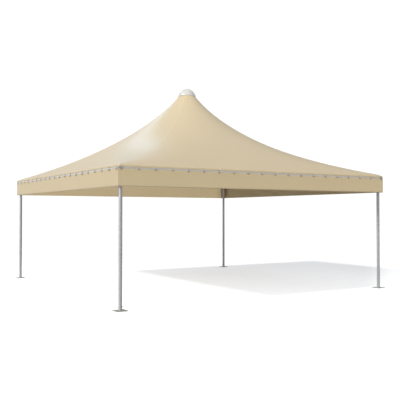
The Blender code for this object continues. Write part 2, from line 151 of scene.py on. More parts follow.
class MarqueeStage(PropertyGroup):
    sun_strength: light_property("Sun strength", "Strength of the key light", 2.86)
    sun_softness: FloatProperty(
        name="Sun softness",
        description="Apparent size of the key light, which softens the shadow",
        default=radians(4.0),
        min=0.0,
        max=radians(30.0),
        subtype="ANGLE",
    )
    fill_strength: light_property("Fill strength", "Strength of the low front light", 1.64)
    softbox_strength: light_property(
        "Softbox strength", "Power of the box behind that shines in the coating", 1730.0
    )
    sky_strength: light_property("Sky strength", "Strength of the even light", 0.02)
    lens: FloatProperty(
        name="Lens", description="Focal length of the camera", default=55.65, min=10.0, max=200.0
    )


def sizes():
    return bpy.context.scene.marquee_sizes


def colour_of(name):
    return tuple(getattr(bpy.context.scene.marquee_colours, name))


# Meshes


def grid_of(*parts):
    """A grid of points from their coordinates, each spread to the shape that holds them all."""
    return np.stack(np.broadcast_arrays(*parts), axis=-1)


def circle(count):
    """Angles in even steps once round."""
    return tau * np.arange(count) / count


def unit(vectors):
    return vectors / np.linalg.norm(vectors, axis=-1, keepdims=True)


def grid_faces(rows, columns, rows_wrap):
    """Quads of a grid that is numbered row by row and whose columns always wrap."""
    row, column = np.ogrid[: rows if rows_wrap else rows - 1, :columns]
    here, above, after = row * columns, (row + 1) % rows * columns, (column + 1) % columns
    return grid_of(here + column, here + after, above + after, above + column).reshape(-1, 4)


def corner_values(values):
    """Values of a panel's points, spread to the four corners of each quad between them."""
    low, high = values[:-1], values[1:]
    return np.stack([low[:, :-1], low[:, 1:], high[:, 1:], high[:, :-1]], axis=2)


def enclosed_volume(points, faces):
    """Signed volume of a closed surface: the sum of its triangles' volumes from its middle."""
    first, *others = np.moveaxis((points - points.mean(axis=0))[faces], 1, 0)
    return sum((first * np.cross(*pair)).sum() / 6 for pair in zip(others, others[1:]))


class Shape:
    """Gathers the closed surfaces of one piece and makes its mesh."""

    def __init__(self):
        self.points, self.faces, self.cloth, self.marks, self.count = [], [], [], [], 0

    def add(self, grid, ends=False, cloth=None, panels=1, marks=None):
        """Adds a grid of points whose rows wrap, or have flat ends over the first and last row.

        The faces are turned outwards by the sign of the volume that they enclose. cloth holds the
        cloth's coordinates at a panel's points, the first ones again at the end of a wrap. marks
        are the points' seam distances.
        """
        rows, columns = grid.shape[:2]
        points = grid.reshape(-1, 3)
        groups = [grid_faces(rows, columns, not ends)]
        if ends:
            points = np.concatenate([points, [grid[0].mean(axis=0), grid[-1].mean(axis=0)]])
            around, middle, last = np.arange(columns), rows * columns, (rows - 1) * columns
            after = (around + 1) % columns
            groups.append(grid_of(middle, after, around))
            groups.append(grid_of(middle + 1, last + around, last + after))
        turn = -1 if sum(enclosed_volume(points, faces) for faces in groups) < 0 else 1
        groups = [faces[:, ::turn] for faces in groups]
        spread = np.zeros((sum(faces.size for faces in groups), 2))
        if cloth is not None:
            values = np.tile(corner_values(cloth), (1, panels, 1, 1)).reshape(-1, 4, 2)
            spread[: values.size // 2] = values[:, ::turn].reshape(-1, 2)
        seam_distance = np.zeros(len(points))
        if marks is not None:
            seam_distance[: marks.size] = marks.ravel()
        self.cloth.append(spread)
        self.marks.append(seam_distance)
        self.points.append(points)
        for faces in groups:
            self.faces += (faces + self.count).tolist()
        self.count += len(points)
        return self

    def copies(self, grid, places, **settings):
        """Adds a copy of a grid at each of several matrices."""
        for place in places:
            self.add(moved(grid, place), **settings)
        return self

    def make(self, name, material, slot, sharp_degrees=35.0, node=None):
        mesh = bpy.data.meshes.new(name)
        mesh.from_pydata(np.concatenate(self.points), [], self.faces)
        layer = mesh.uv_layers.new(name="Cloth")
        layer.data.foreach_set("uv", np.concatenate(self.cloth).astype(np.float32).ravel())
        seam = mesh.attributes.new("seam_distance", "FLOAT", "POINT")
        seam.data.foreach_set("value", np.concatenate(self.marks).astype(np.float32))
        return finish_piece(name, mesh, material, slot, sharp_degrees, node)


def finish_piece(name, mesh, material, slot, sharp_degrees, node=None):
    """Makes a mesh, smooth but for its sharp edges, a piece that rides on the tent.

    node is the solid that it stands for, if there is one.
    """
    mesh.shade_smooth()
    mesh.set_sharp_from_angle(angle=radians(sharp_degrees))
    mesh.materials.append(material)
    piece = bpy.data.objects.new(name, mesh)
    bpy.context.scene.collection.objects.link(piece)
    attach(piece, BODY)
    if node:
        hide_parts(node)
    return piece


def moved(grid, matrix):
    """A grid of points, each carried by a four by four matrix."""
    matrix = np.array(matrix)
    return grid @ matrix[:3, :3].T + matrix[:3, 3]


def side_matrix(index):
    """Turns the front side, or the front left corner, to side or corner number index."""
    return Matrix.Rotation(index * pi / 2, 4, "Z")


def towards(place, direction, roll=0.0):
    """A matrix that sets a shape's +Z along a direction, at a place."""
    turn = Vector(direction).to_track_quat("Z", "Y").to_matrix().to_4x4()
    return Matrix.Translation(place) @ turn @ Matrix.Rotation(roll, 4, "Z")


def turned_grid(profile, sides):
    """A body of revolution about Z: each (radius, height) of the profile swept round a circle."""
    radius, height = np.asarray(profile, float).T[:, :, None]
    around = circle(sides)
    return grid_of(radius * np.cos(around), radius * np.sin(around), height)


def swept_ring(path, radius, first, second):
    """A round section on each point of a path, in the plane of two unit vectors there."""
    around = circle(8)[:, None]
    ring = np.cos(around) * first[:, None] + np.sin(around) * second[:, None]
    return path[:, None] + np.broadcast_to(radius, len(path))[:, None, None] * ring


def tube_grid(path, radius, across=(1.0, 0.0, 0.0)):
    """A round section carried along a path that lies in the plane square to the across vector."""
    across = np.broadcast_to(across, path.shape)
    up = unit(np.cross(unit(np.gradient(path, axis=0)), across))
    return swept_ring(path, radius, across, up)


def tube_cloth(grid, radius, start, end):
    """A tube's own coordinates: the distance round it and the distance along it."""
    rows, columns = grid.shape[:2]
    around = np.linspace(0.0, tau * radius, columns + 1)
    return grid_of(around, np.linspace(start, end, rows)[:, None])


def smooth_path(points, steps):
    """Points along a path through the given ones, each stretch a Hermite curve."""
    points = np.asarray(points)
    slopes = np.gradient(points, axis=0)
    share = np.linspace(0.0, 1.0, steps, endpoint=False)[None, :, None]
    start, end, leave, arrive = (
        part[:, None] for part in (points[:-1], points[1:], slopes[:-1], slopes[1:])
    )
    curve = (
        (2 * share**3 - 3 * share**2 + 1) * start
        + (share**3 - 2 * share**2 + share) * leave
        + (3 * share**2 - 2 * share**3) * end
        + (share**3 - share**2) * arrive
    )
    return np.concatenate([curve.reshape(-1, 3), points[-1:]])


def pipe_grid(radius, length, sides):
    """An open pipe along Z from 0 to length: its chamfered wall's section swept round the axis."""
    bore, cut = radius - PIPE_WALL, 0.0008
    end, cut_end = length, length - cut
    outside = [(radius - cut, 0.0), (radius, cut), (radius, cut_end), (radius - cut, end)]
    inside = [(bore + cut, end), (bore, cut_end), (bore, cut), (bore + cut, 0.0)]
    return turned_grid(outside + inside, sides)


def softened(node, name, width, slot=STEEL, keep=None):
    """A copy of a CAD node's mesh, merged, with whole flat faces and rounded edges.

    keep, if given, takes the points as an array and says which of them stay.
    """
    bm = bmesh.new()
    bm.from_mesh(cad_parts[node].data)
    bmesh.ops.remove_doubles(bm, verts=bm.verts, dist=2e-5)
    if keep:
        stays = keep(np.array([vert.co for vert in bm.verts]))
        out = [vert for vert, stay in zip(bm.verts, stays) if not stay]
        bmesh.ops.delete(bm, geom=out, context="VERTS")
        bmesh.ops.holes_fill(bm, edges=[edge for edge in bm.edges if edge.is_boundary])
    bmesh.ops.dissolve_limit(
        bm, angle_limit=radians(0.6), verts=bm.verts, edges=bm.edges, delimit={"NORMAL"}
    )
    bmesh.ops.recalc_face_normals(bm, faces=bm.faces)
    mesh = bpy.data.meshes.new(name)
    bm.to_mesh(mesh)
    bm.free()
    if "custom_normal" in mesh.attributes:
        mesh.attributes.remove(mesh.attributes["custom_normal"])
    piece = finish_piece(name, mesh, steel("galvanised_fitting"), slot, 30.0, node)
    bevel = piece.modifiers.new("Rounded edges", "BEVEL")
    bevel.width, bevel.segments = width, 2
    bevel.limit_method, bevel.angle_limit = "ANGLE", radians(35.0)
    bevel.harden_normals = True


# Shader nodes


class Nodes:
    """Adds nodes to a tree and joins them. A value may be a number, a colour or a socket."""

    def __init__(self, tree):
        self.tree = tree

    def add(self, kind, inputs, **settings):
        node = self.tree.nodes.new(kind)
        for key, value in settings.items():
            setattr(node, key, value)
        self.give(node, inputs)
        return node

    def give(self, node, inputs):
        """Links or sets a node's inputs, given by name or number."""
        for key, value in inputs.items():
            socket = node.inputs[key]
            if isinstance(value, bpy.types.NodeSocket):
                self.tree.links.new(value, socket)
            elif socket.type == "RGBA":
                socket.default_value = (*value, 1.0)
            else:
                socket.default_value = value

    def read(self, kind):
        """The outputs of a node that needs no inputs."""
        return self.add(kind, {}).outputs

    def math(self, operation, *values, clamp=False):
        settings = {"operation": operation, "use_clamp": clamp}
        return self.add("ShaderNodeMath", dict(enumerate(values)), **settings).outputs[0]

    def times(self, *values):
        return self.math("MULTIPLY", *values)

    def scaled(self, value, factor, added, clamp=False):
        return self.math("MULTIPLY_ADD", value, factor, added, clamp=clamp)

    def wave(self, value, pace):
        return self.math("SINE", self.times(value, pace))

    def mix(self, share, first, second, blend="MIX"):
        inputs = {0: share, 6: first, 7: second}
        return self.add("ShaderNodeMix", inputs, data_type="RGBA", blend_type=blend).outputs[2]

    def tint(self, share, colour, factors):
        """Takes a colour a share of the way to itself times the factors."""
        return self.mix(share, colour, factors, "MULTIPLY")

    def spread(self, value, low, high, to_low=0.0, to_high=1.0):
        """Maps a value's range to another, smoothly and without passing its ends."""
        inputs = dict(enumerate((value, low, high, to_low, to_high)))
        return self.add("ShaderNodeMapRange", inputs, interpolation_type="SMOOTHSTEP").outputs[0]

    def noise(self, vector, scale, detail=3.0, roughness=0.55):
        inputs = {"Vector": vector, "Scale": scale, "Detail": detail, "Roughness": roughness}
        return self.add("ShaderNodeTexNoise", inputs).outputs["Fac"]

    def parts(self, vector):
        return self.add("ShaderNodeSeparateXYZ", {0: vector}).outputs

    def dot(self, vector, direction):
        inputs = {0: vector, 1: direction}
        return self.add("ShaderNodeVectorMath", inputs, operation="DOT_PRODUCT").outputs["Value"]

    def bump(self, height, distance, strength=1.0):
        inputs = {"Height": height, "Distance": distance, "Strength": strength}
        return self.add("ShaderNodeBump", inputs).outputs[0]

    def show(self, output, lit, seen):
        """Gives the camera one shader and every other ray another."""
        camera = self.read("ShaderNodeLightPath")["Is Camera Ray"]
        inputs = {0: camera, 1: lit.outputs[0], 2: seen.outputs[0]}
        chosen = self.add("ShaderNodeMixShader", inputs)
        self.give(self.tree.nodes[output], {"Surface": chosen.outputs[0]})


def node_group(name, inputs):
    """Turns a function that builds a group's nodes into one that places the group in a tree.

    The group is built once. inputs has each input's default, and the builder takes the sockets
    and returns the outputs by name. A socket's name tells whether it is a vector or a colour.
    """

    def add_sockets(tree, in_out, sockets):
        for label, default in sockets.items():
            kind = "NodeSocket" + {"Vector": "Vector", "Colour": "Color"}.get(label, "Float")
            socket = tree.interface.new_socket(name=label, in_out=in_out, socket_type=kind)
            if default is not None:
                socket.default_value = default

    def build_tree(build):
        tree = bpy.data.node_groups.new(name, "ShaderNodeTree")
        nodes = Nodes(tree)
        add_sockets(tree, "INPUT", inputs)
        results = build(nodes, nodes.read("NodeGroupInput"))
        add_sockets(tree, "OUTPUT", dict.fromkeys(results))
        nodes.add("NodeGroupOutput", results)
        return tree

    def wrap(build):
        def place(nodes, values):
            tree = bpy.data.node_groups.get(name) or build_tree(build)
            return nodes.add("ShaderNodeGroup", values, node_tree=tree).outputs

        return place

    return wrap


@node_group(
    "Coated cloth",
    {"Vector": None, "Colour": (0.6, 0.5, 0.3, 1.0), "Thread Spacing": 0.0022, "Soiling": 0.05},
)
def coated_cloth(nodes, given):
    """Coated polyester cloth: a fine plain weave under a skin, with faint clouds and scuffs."""
    place, colour = given["Vector"], given["Colour"]
    turns = nodes.math("DIVIDE", tau, given["Thread Spacing"])
    warp, weft = (nodes.wave(part, turns) for part in nodes.parts(place)[:2])
    clouds = nodes.noise(place, 1.1, 5.0)
    slubs = nodes.noise(place, 38.0, 4.0, 0.6)
    scuffs = nodes.spread(nodes.noise(place, 6.0, 6.0, 0.7), 0.55, 0.75)
    shade = nodes.times(nodes.spread(clouds, 0.40, 0.72), given["Soiling"])
    share = nodes.scaled(slubs, 0.10, nodes.times(shade, 2.0))
    return {
        "Colour": nodes.tint(share, colour, (0.86, 0.84, 0.80)),
        "Roughness": nodes.scaled(scuffs, 0.09, nodes.scaled(slubs, 0.10, 0.37)),
        "Height": nodes.scaled(slubs, 0.35, nodes.times(nodes.times(warp, weft), 0.5)),
    }


@node_group("Weld seam", {"Distance": 0.0, "Half Width": 0.0125, "Along": 0.0})
def weld_seam(nodes, given):
    """A welded lap of cloth: a band with two crisp edges, and the print of the heated roller."""
    away = nodes.math("ABSOLUTE", given["Distance"])
    rim = nodes.math("SUBTRACT", away, given["Half Width"])
    band = nodes.spread(rim, -0.0006, 0.0006, 1.0, 0.0)
    roller = nodes.times(nodes.wave(given["Along"], tau / 0.0035), 0.12)
    return {
        "Band": band,
        "Edge": nodes.spread(nodes.math("ABSOLUTE", rim), 0.0, 0.0022, 1.0, 0.0),
        "Height": nodes.scaled(roller, band, band),
    }


@node_group(
    "Zinc spangle",
    {"Vector": None, "Colour": (0.5, 0.5, 0.5, 1.0), "Spangle Size": 0.014, "Contrast": 0.35},
)
def zinc_spangle(nodes, given):
    """Hot-dip zinc: crystals of a few greys, matt patches, and faint runs from the bath."""
    place, colour, contrast = given["Vector"], given["Colour"], given["Contrast"]
    wobble = nodes.add("ShaderNodeTexNoise", {"Vector": place, "Scale": 60.0}).outputs["Color"]
    inputs = {0: wobble, 1: (0.006, 0.006, 0.006), 2: place}
    bent = nodes.add("ShaderNodeVectorMath", inputs, operation="MULTIPLY_ADD").outputs[0]
    scale = nodes.math("DIVIDE", 1.0, given["Spangle Size"])
    cells = nodes.add("ShaderNodeTexVoronoi", {"Vector": bent, "Scale": scale}).outputs["Color"]
    grey = nodes.add("ShaderNodeSeparateColor", {0: cells}).outputs
    patches = nodes.noise(place, 9.0, 4.0)
    lit = nodes.times(nodes.spread(grey[0], 0.45, 1.0), contrast)
    shaded = nodes.times(nodes.spread(patches, 0.42, 0.75), contrast)
    dark = nodes.tint(1.0, colour, (0.62, 0.63, 0.65))
    grain = nodes.noise(place, 420.0, 2.0)
    return {
        "Colour": nodes.mix(shaded, nodes.tint(lit, colour, (1.28, 1.28, 1.27)), dark),
        "Roughness": nodes.scaled(patches, 0.12, nodes.scaled(grey[1], 0.14, 0.38)),
        "Height": nodes.scaled(grain, 0.5, nodes.times(patches, 0.8)),
    }


@node_group("Edge wear", {"Vector": None, "Amount": 0.5})
def edge_wear(nodes, given):
    """A mask that is bright along outer edges and breaks up with a fine noise."""
    edges = nodes.spread(nodes.read("ShaderNodeNewGeometry")["Pointiness"], 0.515, 0.60)
    broken = nodes.spread(nodes.noise(given["Vector"], 90.0, 5.0), 0.35, 0.65)
    return {"Mask": nodes.times(nodes.times(edges, broken), given["Amount"])}


@node_group("Dust", {"Vector": None, "On Top": 0.3, "Near Ground": 0.5, "Ground Reach": 0.35})
def dust_mask(nodes, given):
    """A mask of dust: on faces that look up, and on what is near the ground."""
    up = nodes.parts(nodes.read("ShaderNodeNewGeometry")["Normal"])[2]
    top = nodes.times(nodes.spread(up, 0.4, 1.0), given["On Top"])
    share = nodes.math("DIVIDE", nodes.parts(given["Vector"])[2], given["Ground Reach"])
    low = nodes.times(nodes.spread(share, 0.0, 1.0, 1.0, 0.0), given["Near Ground"])
    cloudy = nodes.spread(nodes.noise(given["Vector"], 14.0, 6.0, 0.65), 0.3, 0.7)
    return {"Mask": nodes.times(nodes.math("ADD", top, low, clamp=True), cloudy)}


def start_material(name):
    """A new material, its nodes, its Principled shader, and its object and UV coordinates."""
    material = bpy.data.materials.new(name)
    material.use_nodes = True
    nodes = Nodes(material.node_tree)
    coordinates = nodes.read("ShaderNodeTexCoord")
    shader = material.node_tree.nodes["Principled BSDF"]
    return material, nodes, shader, coordinates["Object"], coordinates["UV"]


def cloth_material(name, colour, seams, soil=0.0):
    """Coated cloth with welded seams, and, if wanted, a band of the given width that is darker
    towards the lower edge.

    seams are (kind, middle, half width), where kind is "across" for a band at that distance down
    the cloth, or "mark" for one by the seam_distance values.
    """
    material, nodes, shader, place, lie = start_material(name)
    tone, roughness, height = coated_cloth(nodes, {"Colour": colour, "Vector": lie})
    along, down = nodes.parts(lie)[:2]
    mark = nodes.add("ShaderNodeAttribute", {}, attribute_name="seam_distance").outputs["Fac"]
    most = (0.0, 0.0, 0.0)
    for kind, middle, half_width in seams:
        measured, run = (mark, down) if kind == "mark" else (down, along)
        distance = nodes.math("SUBTRACT", measured, middle)
        values = {"Distance": distance, "Half Width": half_width, "Along": run}
        seam = weld_seam(nodes, values)
        most = [nodes.math("MAXIMUM", found, before) for found, before in zip(seam, most)]
    bands, edges, laps = most
    tone = nodes.tint(nodes.times(bands, 0.8), tone, (1.05, 1.05, 1.06))
    tone = nodes.tint(nodes.times(edges, 0.35), tone, (0.80, 0.78, 0.74))
    # The cloth gets darker towards its lower edge, over the given width
    if soil:
        tone = nodes.tint(nodes.spread(down, soil, 0.4 * soil), tone, (0.64, 0.63, 0.64))
    dust = dust_mask(nodes, {"Vector": place, "On Top": 0.10, "Near Ground": 0.0})[0]
    looks = {
        "Base Color": nodes.mix(dust, tone, (0.50, 0.45, 0.36)),
        "Roughness": nodes.scaled(bands, -0.06, roughness),
        "Normal": nodes.bump(nodes.scaled(laps, 6.0, height), 0.00012),
        "Specular IOR Level": 0.2,
        "Sheen Weight": 0.05,
        "Sheen Roughness": 0.4,
        "Coat Weight": 0.25,
        "Coat IOR": 3.0,
        "Coat Roughness": 0.20,
    }
    nodes.give(shader, looks)
    return material


def zinc_material(name, colour, spangle, wear, metallic):
    """Galvanised steel with spangle, brighter worn edges and dust."""
    material, nodes, shader, place, _ = start_material(name)
    zinc = {"Vector": place, "Colour": colour, "Spangle Size": spangle}
    tone, roughness, height = zinc_spangle(nodes, zinc)
    worn = edge_wear(nodes, {"Vector": place, "Amount": wear})[0]
    dust = dust_mask(nodes, {"Vector": place, "On Top": 0.25, "Near Ground": 0.45})[0]
    bright = nodes.mix(worn, tone, (0.74, 0.75, 0.77))
    smooth = nodes.scaled(worn, -0.12, roughness)
    looks = {
        "Base Color": nodes.mix(dust, bright, (0.42, 0.39, 0.34)),
        "Roughness": nodes.scaled(dust, 0.25, smooth, clamp=True),
        "Metallic": nodes.scaled(dust, -0.6, metallic, clamp=True),
        "Normal": nodes.bump(height, 0.00025, 0.6),
    }
    nodes.give(shader, looks)
    return material


def moulded_material(name, colour, roughness, grain_scale, grain_depth, wear_colour):
    """Moulded plastic: a fine texture, soft colour shifts, scuffed edges and dust."""
    material, nodes, shader, place, _ = start_material(name)
    clouds = nodes.noise(place, 12.0, 5.0)
    share = nodes.times(nodes.spread(clouds, 0.4, 0.7), 0.5)
    body = nodes.tint(share, colour, (0.90, 0.90, 0.89))
    worn = edge_wear(nodes, {"Vector": place, "Amount": 0.5})[0]
    dust = dust_mask(nodes, {"Vector": place, "On Top": 0.14, "Near Ground": 0.0})[0]
    looks = {
        "Base Color": nodes.mix(dust, nodes.mix(worn, body, wear_colour), (0.50, 0.47, 0.41)),
        "Roughness": nodes.scaled(clouds, 0.16, roughness),
        "Normal": nodes.bump(nodes.noise(place, grain_scale), grain_depth),
    }
    nodes.give(shader, looks)
    return material


def elastic_material(name, colour):
    """Braided elastic: two crossing sets of diagonal threads round the cord."""
    material, nodes, shader, _, lie = start_material(name)
    round_it, along = nodes.parts(lie)[:2]
    left, right = (
        nodes.wave(nodes.math(operation, round_it, along), 3600.0)
        for operation in ("ADD", "SUBTRACT")
    )
    braid = nodes.math("MAXIMUM", left, right)
    share = nodes.spread(braid, -0.2, 0.9, 1.0, 0.0)
    looks = {
        "Base Color": nodes.tint(share, colour, (0.55, 0.55, 0.55)),
        "Roughness": 0.8,
        "Sheen Weight": 0.2,
        "Normal": nodes.bump(braid, 0.0002),
    }
    nodes.give(shader, looks)
    return material


def rope_material(name, colour):
    """Galvanised strand: the fine wires that run round each strand, and dull grey zinc."""
    material, nodes, shader, place, lie = start_material(name)
    zinc = {"Vector": place, "Colour": colour, "Spangle Size": 0.006}
    tone, roughness, _ = zinc_spangle(nodes, zinc)
    round_it, along = nodes.parts(lie)[:2]
    wires = nodes.math("SINE", nodes.scaled(round_it, 5200.0, nodes.times(along, 1400.0)))
    # Painted shade: the colour is darkened in the grooves between the wires
    share = nodes.spread(wires, -0.9, 0.1, 1.0, 0.0)
    looks = {
        "Base Color": nodes.tint(share, tone, (0.45, 0.45, 0.45)),
        "Roughness": roughness,
        "Metallic": 0.8,
        "Normal": nodes.bump(wires, 0.0002),
    }
    nodes.give(shader, looks)
    return material


# How much light the floor throws back and how much it gives, to the camera and to the tent
FLOOR_SEEN = (0.58, 0.458)
FLOOR_BOUNCE = (0.60, 0.054)

# Painted light on the floor: its own glow rises, each way over the ground, from where to where,
# and by how much, so that the tent's shadow is painted lighter towards the camera and fades out
# on the right, past the leg there
FLOOR_PAINTED_LIGHT = (
    ((-0.865, -0.502, 0.0), -6.2, 1.5, 0.315),
    ((0.675, -0.738, 0.0), 3.75, 4.60, 0.22),
)


def floor_material(name):
    """Pale studio floor with a faint mottle and a little light of its own.

    It looks white to the camera but throws less light back at the tent than white would.
    Its glow is painted light: it rises in places so that the tent's shadow is painted lighter
    there.
    """
    material, nodes, seen, place, _ = start_material(name)
    mottle = nodes.noise(place, 0.4, 4.0)
    thrown = nodes.add("ShaderNodeBsdfPrincipled", {})
    for surface, (albedo, glow) in ((seen, FLOOR_SEEN), (thrown, FLOOR_BOUNCE)):
        looks = {
            "Base Color": nodes.mix(mottle, 3 * (albedo,), 3 * (albedo * 1.015,)),
            "Roughness": 1.0,
            "Specular IOR Level": 0.0,
            "Emission Color": (1.0, 1.0, 1.0),
            "Emission Strength": glow,
        }
        nodes.give(surface, looks)
    glow = FLOOR_SEEN[1]
    # Painted light: each rise lightens the floor's glow where the tent's shadow falls
    for direction, start, end, rise in FLOOR_PAINTED_LIGHT:
        glow = nodes.scaled(nodes.spread(nodes.dot(place, direction), start, end), rise, glow)
    # Painted light: the glow's cool tint takes the warm bounce of the cloth out of the shade
    nodes.give(seen, {"Emission Color": (0.975, 0.992, 1.02), "Emission Strength": glow})
    nodes.show("Material Output", thrown, seen)
    return material


def shared_material(name, build, *values):
    """The material of that name, made the first time that it is asked for."""
    return bpy.data.materials.get(name) or build(name, *values)


def steel(name):
    """A zinc finish by its colour, size of spangle, share of worn edges and metallic share."""
    values = {
        "galvanised_pipe": (colour_of("zinc"), 0.016, 0.4, 0.85),
        "galvanised_rail": (colour_of("rail"), 0.012, 0.4, 0.6),
        "galvanised_fitting": (colour_of("zinc"), 0.009, 0.9, 0.85),
        "plated_bolt": ((0.62, 0.62, 0.60), 0.004, 1.0, 0.95),
        "weld_bead": ((0.40, 0.41, 0.43), 0.005, 0.3, 0.8),
    }[name]
    return shared_material(name, zinc_material, *values)


# Roof sheet

ROOF_FALL = CROWN_HEIGHT - EAVE_HEIGHT
SWEPT_WIDTH = HALF_SIDE**SWEEP - CROWN_RADIUS**SWEEP


def roof_height(line):
    """Height falls with a power of the distance from the centre: hollow, steepest at the crown."""
    return CROWN_HEIGHT - ROOF_FALL * (line**SWEEP - CROWN_RADIUS**SWEEP) / SWEPT_WIDTH


def roof_slope(line):
    """Angle by which the sheet falls outwards: the arc tangent of the height's derivative."""
    return np.arctan(ROOF_FALL * SWEEP * line ** (SWEEP - 1) / SWEPT_WIDTH)


def outline_reach(turned, line):
    """Distance of a level outline from the centre, for a half width of one.

    The outline is |x|^n + |y|^n = 1, whose power n grows from 2, a circle, towards a square.
    """
    share = np.minimum(1.0, line / SQUARE_FROM)
    power = np.minimum(MOST_SQUARE, 2.0 / np.maximum(1.0 - share**SQUARING, 1e-6))
    across, up = np.abs(np.cos(turned)), np.abs(np.sin(turned))
    larger = np.maximum(across, up)
    return 1 / (larger * ((across / larger) ** power + (up / larger) ** power) ** (1 / power))


def tie_places():
    """Places of the ties along a side, measured from its middle."""
    count = sizes().ties_a_side
    return (np.arange(count) - (count - 1) / 2) * sizes().tie_pitch


def from_tie(across):
    """Distance along the side from each point to the tie nearest to it."""
    pitch = sizes().tie_pitch
    shift = 0.0 if sizes().ties_a_side % 2 else 0.5
    return ((across / pitch - shift + 0.5) % 1.0 - 0.5) * pitch


def side_stations():
    """Stations along one side, from corner to corner, crowded at the ties and at the corners.

    Even steps s, twelve from tie to tie, are bent by s + 0.7 sin(2 pi s) / 2 pi, so that they
    bunch where a tie draws in.
    """
    reach = HALF_SIDE / sizes().tie_pitch
    steps = np.linspace(-reach, reach, int(round(2 * reach * 12)) + 1)
    bent = steps + 0.7 * np.sin(tau * steps) / tau
    near_corner = HALF_SIDE - np.array([0.004, 0.009, 0.017])
    return np.unique(np.concatenate([bent / bent[-1] * HALF_SIDE, near_corner, -near_corner]))


def hem_arc(end):
    """Points round the rope in a hem, from its outer side to an angle in degrees."""
    turned = np.radians(np.linspace(0.0, end, 14))
    return HEM_ROPE_RADIUS * np.cos(turned), HEM_ROPE_RADIUS * np.sin(turned)


def distance_along(points):
    """Distance of each point from the first, along the line through them all."""
    return np.append(0.0, np.cumsum(np.hypot(*np.diff(points, axis=0).T)))


def roof_profile(thickness):
    """The roof sheet's closed section: out over the top, round the hem's rope, back underneath.

    Each row has its half width, height, and the direction in which the cloth may lift. With them
    come each row's line and its distance down the cloth from the crown.
    """
    edge_slope = float(roof_slope(HALF_SIDE))
    fold_line = HALF_SIDE - FOLD_RADIUS
    fold_start = fold_line + FOLD_RADIUS * sin(edge_slope)
    fold_height = float(roof_height(fold_start)) - FOLD_RADIUS * cos(edge_slope)
    share = np.linspace(0.0, 1.0, 31) ** 1.45
    near_fold = np.array([0.20, 0.15, 0.11, 0.08, 0.055, 0.035, 0.018, 0.007])
    last = fold_start - 0.26
    body = np.append(CROWN_RADIUS + (last - CROWN_RADIUS) * share, fold_start - near_fold)
    slope, fold = roof_slope(body), np.linspace(pi / 2 - edge_slope, 0.0, 6)
    out, up = np.cos(fold), np.sin(fold)
    drop = fold_height + (ROOF_ROPE_HEIGHT - fold_height) * np.array([0.45, 0.8])
    outer = np.concatenate(
        [
            grid_of(body, roof_height(body), np.sin(slope), np.cos(slope)),
            grid_of(fold_line + FOLD_RADIUS * out, fold_height + FOLD_RADIUS * up, out, up),
            grid_of(HALF_SIDE, drop, 1.0, 0.0),
        ]
    )
    around, rise = hem_arc(HEM_MEETS - 360.0)
    rope = grid_of(HEM_ROPE_LINE + around, ROOF_ROPE_HEIGHT + rise, 1.0, 0.0)
    kept = np.r_[0:31:2, 31 : len(outer) - 1]
    inner = outer[kept]
    inner[:, :2] -= thickness * inner[:, 2:]
    section = np.concatenate([outer, rope, inner[::-1]])
    line = np.concatenate([outer[:, 0], np.full(len(rope), HALF_SIDE), outer[kept, 0][::-1]])
    down = distance_along(section[:, :2])
    down[len(outer) + len(rope) :] = down[kept][::-1]
    return section, line, down


def roof_lift(across, half_width, from_hem, turned):
    """How far the cloth lifts: drawn in at each tie, puffed between ties, faintly wavy above.

    across is the distance along the side, from_hem the distance up from the hem's rope.
    """
    away = from_tie(across)
    pinch = np.exp(-((away / 0.018) ** 2)) * np.exp(-(((from_hem - 0.012) / 0.022) ** 2))
    fan = np.cos(tau * away / sizes().tie_pitch) * np.exp(-from_hem / 0.10) * (from_hem > 0)
    waves = np.sin(2.1 * across + 1.7 * half_width + 0.6) * np.sin(1.3 * half_width + 3.0 * turned)
    past_crown = half_width - CROWN_RADIUS
    pleats = np.cos(24 * turned) * np.exp(-past_crown / 0.16) * (1 - np.exp(-past_crown / 0.05))
    high = np.clip(from_hem / 0.5, 0.0, 1.0)
    return -sizes().pinch_depth * pinch - 0.0011 * fan + 0.0016 * waves * high + 0.0015 * pleats


def roof_grid():
    """The whole sheet as a closed section carried round the tent along its level outlines."""
    section, line, down = roof_profile(sizes().cloth_thickness)
    lean = np.arctan2(side_stations()[:-1], HALF_SIDE)
    turned = (lean + np.arange(4)[:, None] * pi / 2 - pi / 2).ravel()
    side_lean = np.tile(lean, 4)
    half, height, out, up = section.T[:, :, None]
    hem_down = down[np.argmax(section[:, 1] < ROOF_ROPE_HEIGHT)]
    from_hem = np.maximum(hem_down - down, 0.0)[:, None]
    lift = roof_lift(half * np.tan(side_lean), half, from_hem, turned)
    radial = (half + out * lift) * outline_reach(turned, line[:, None])
    grid = grid_of(radial * np.cos(turned), radial * np.sin(turned), height + up * lift)
    hip = radial * (pi / 4 - np.abs(side_lean))
    wrapped = np.append(np.arange(len(down)), 0)
    panel = grid_of(half[wrapped] * np.tan(np.append(lean, pi / 4)), down[wrapped][:, None])
    return grid, down, hip, panel


def make_roof_sheet(context):
    grid, down, hip, panel = roof_grid()
    seams = [("mark", 0.0, 0.014), ("across", 0.36, 0.006), ("across", down.max() - 0.075, 0.006)]
    fabric = cloth_material("roof_cloth", colour_of("cloth"), seams)
    shape = Shape().add(grid, cloth=panel, panels=len(SIDES), marks=hip)
    sheet = shape.make("roof_canopy", fabric, FABRIC, 75.0, "roof_sheet")


# Valances


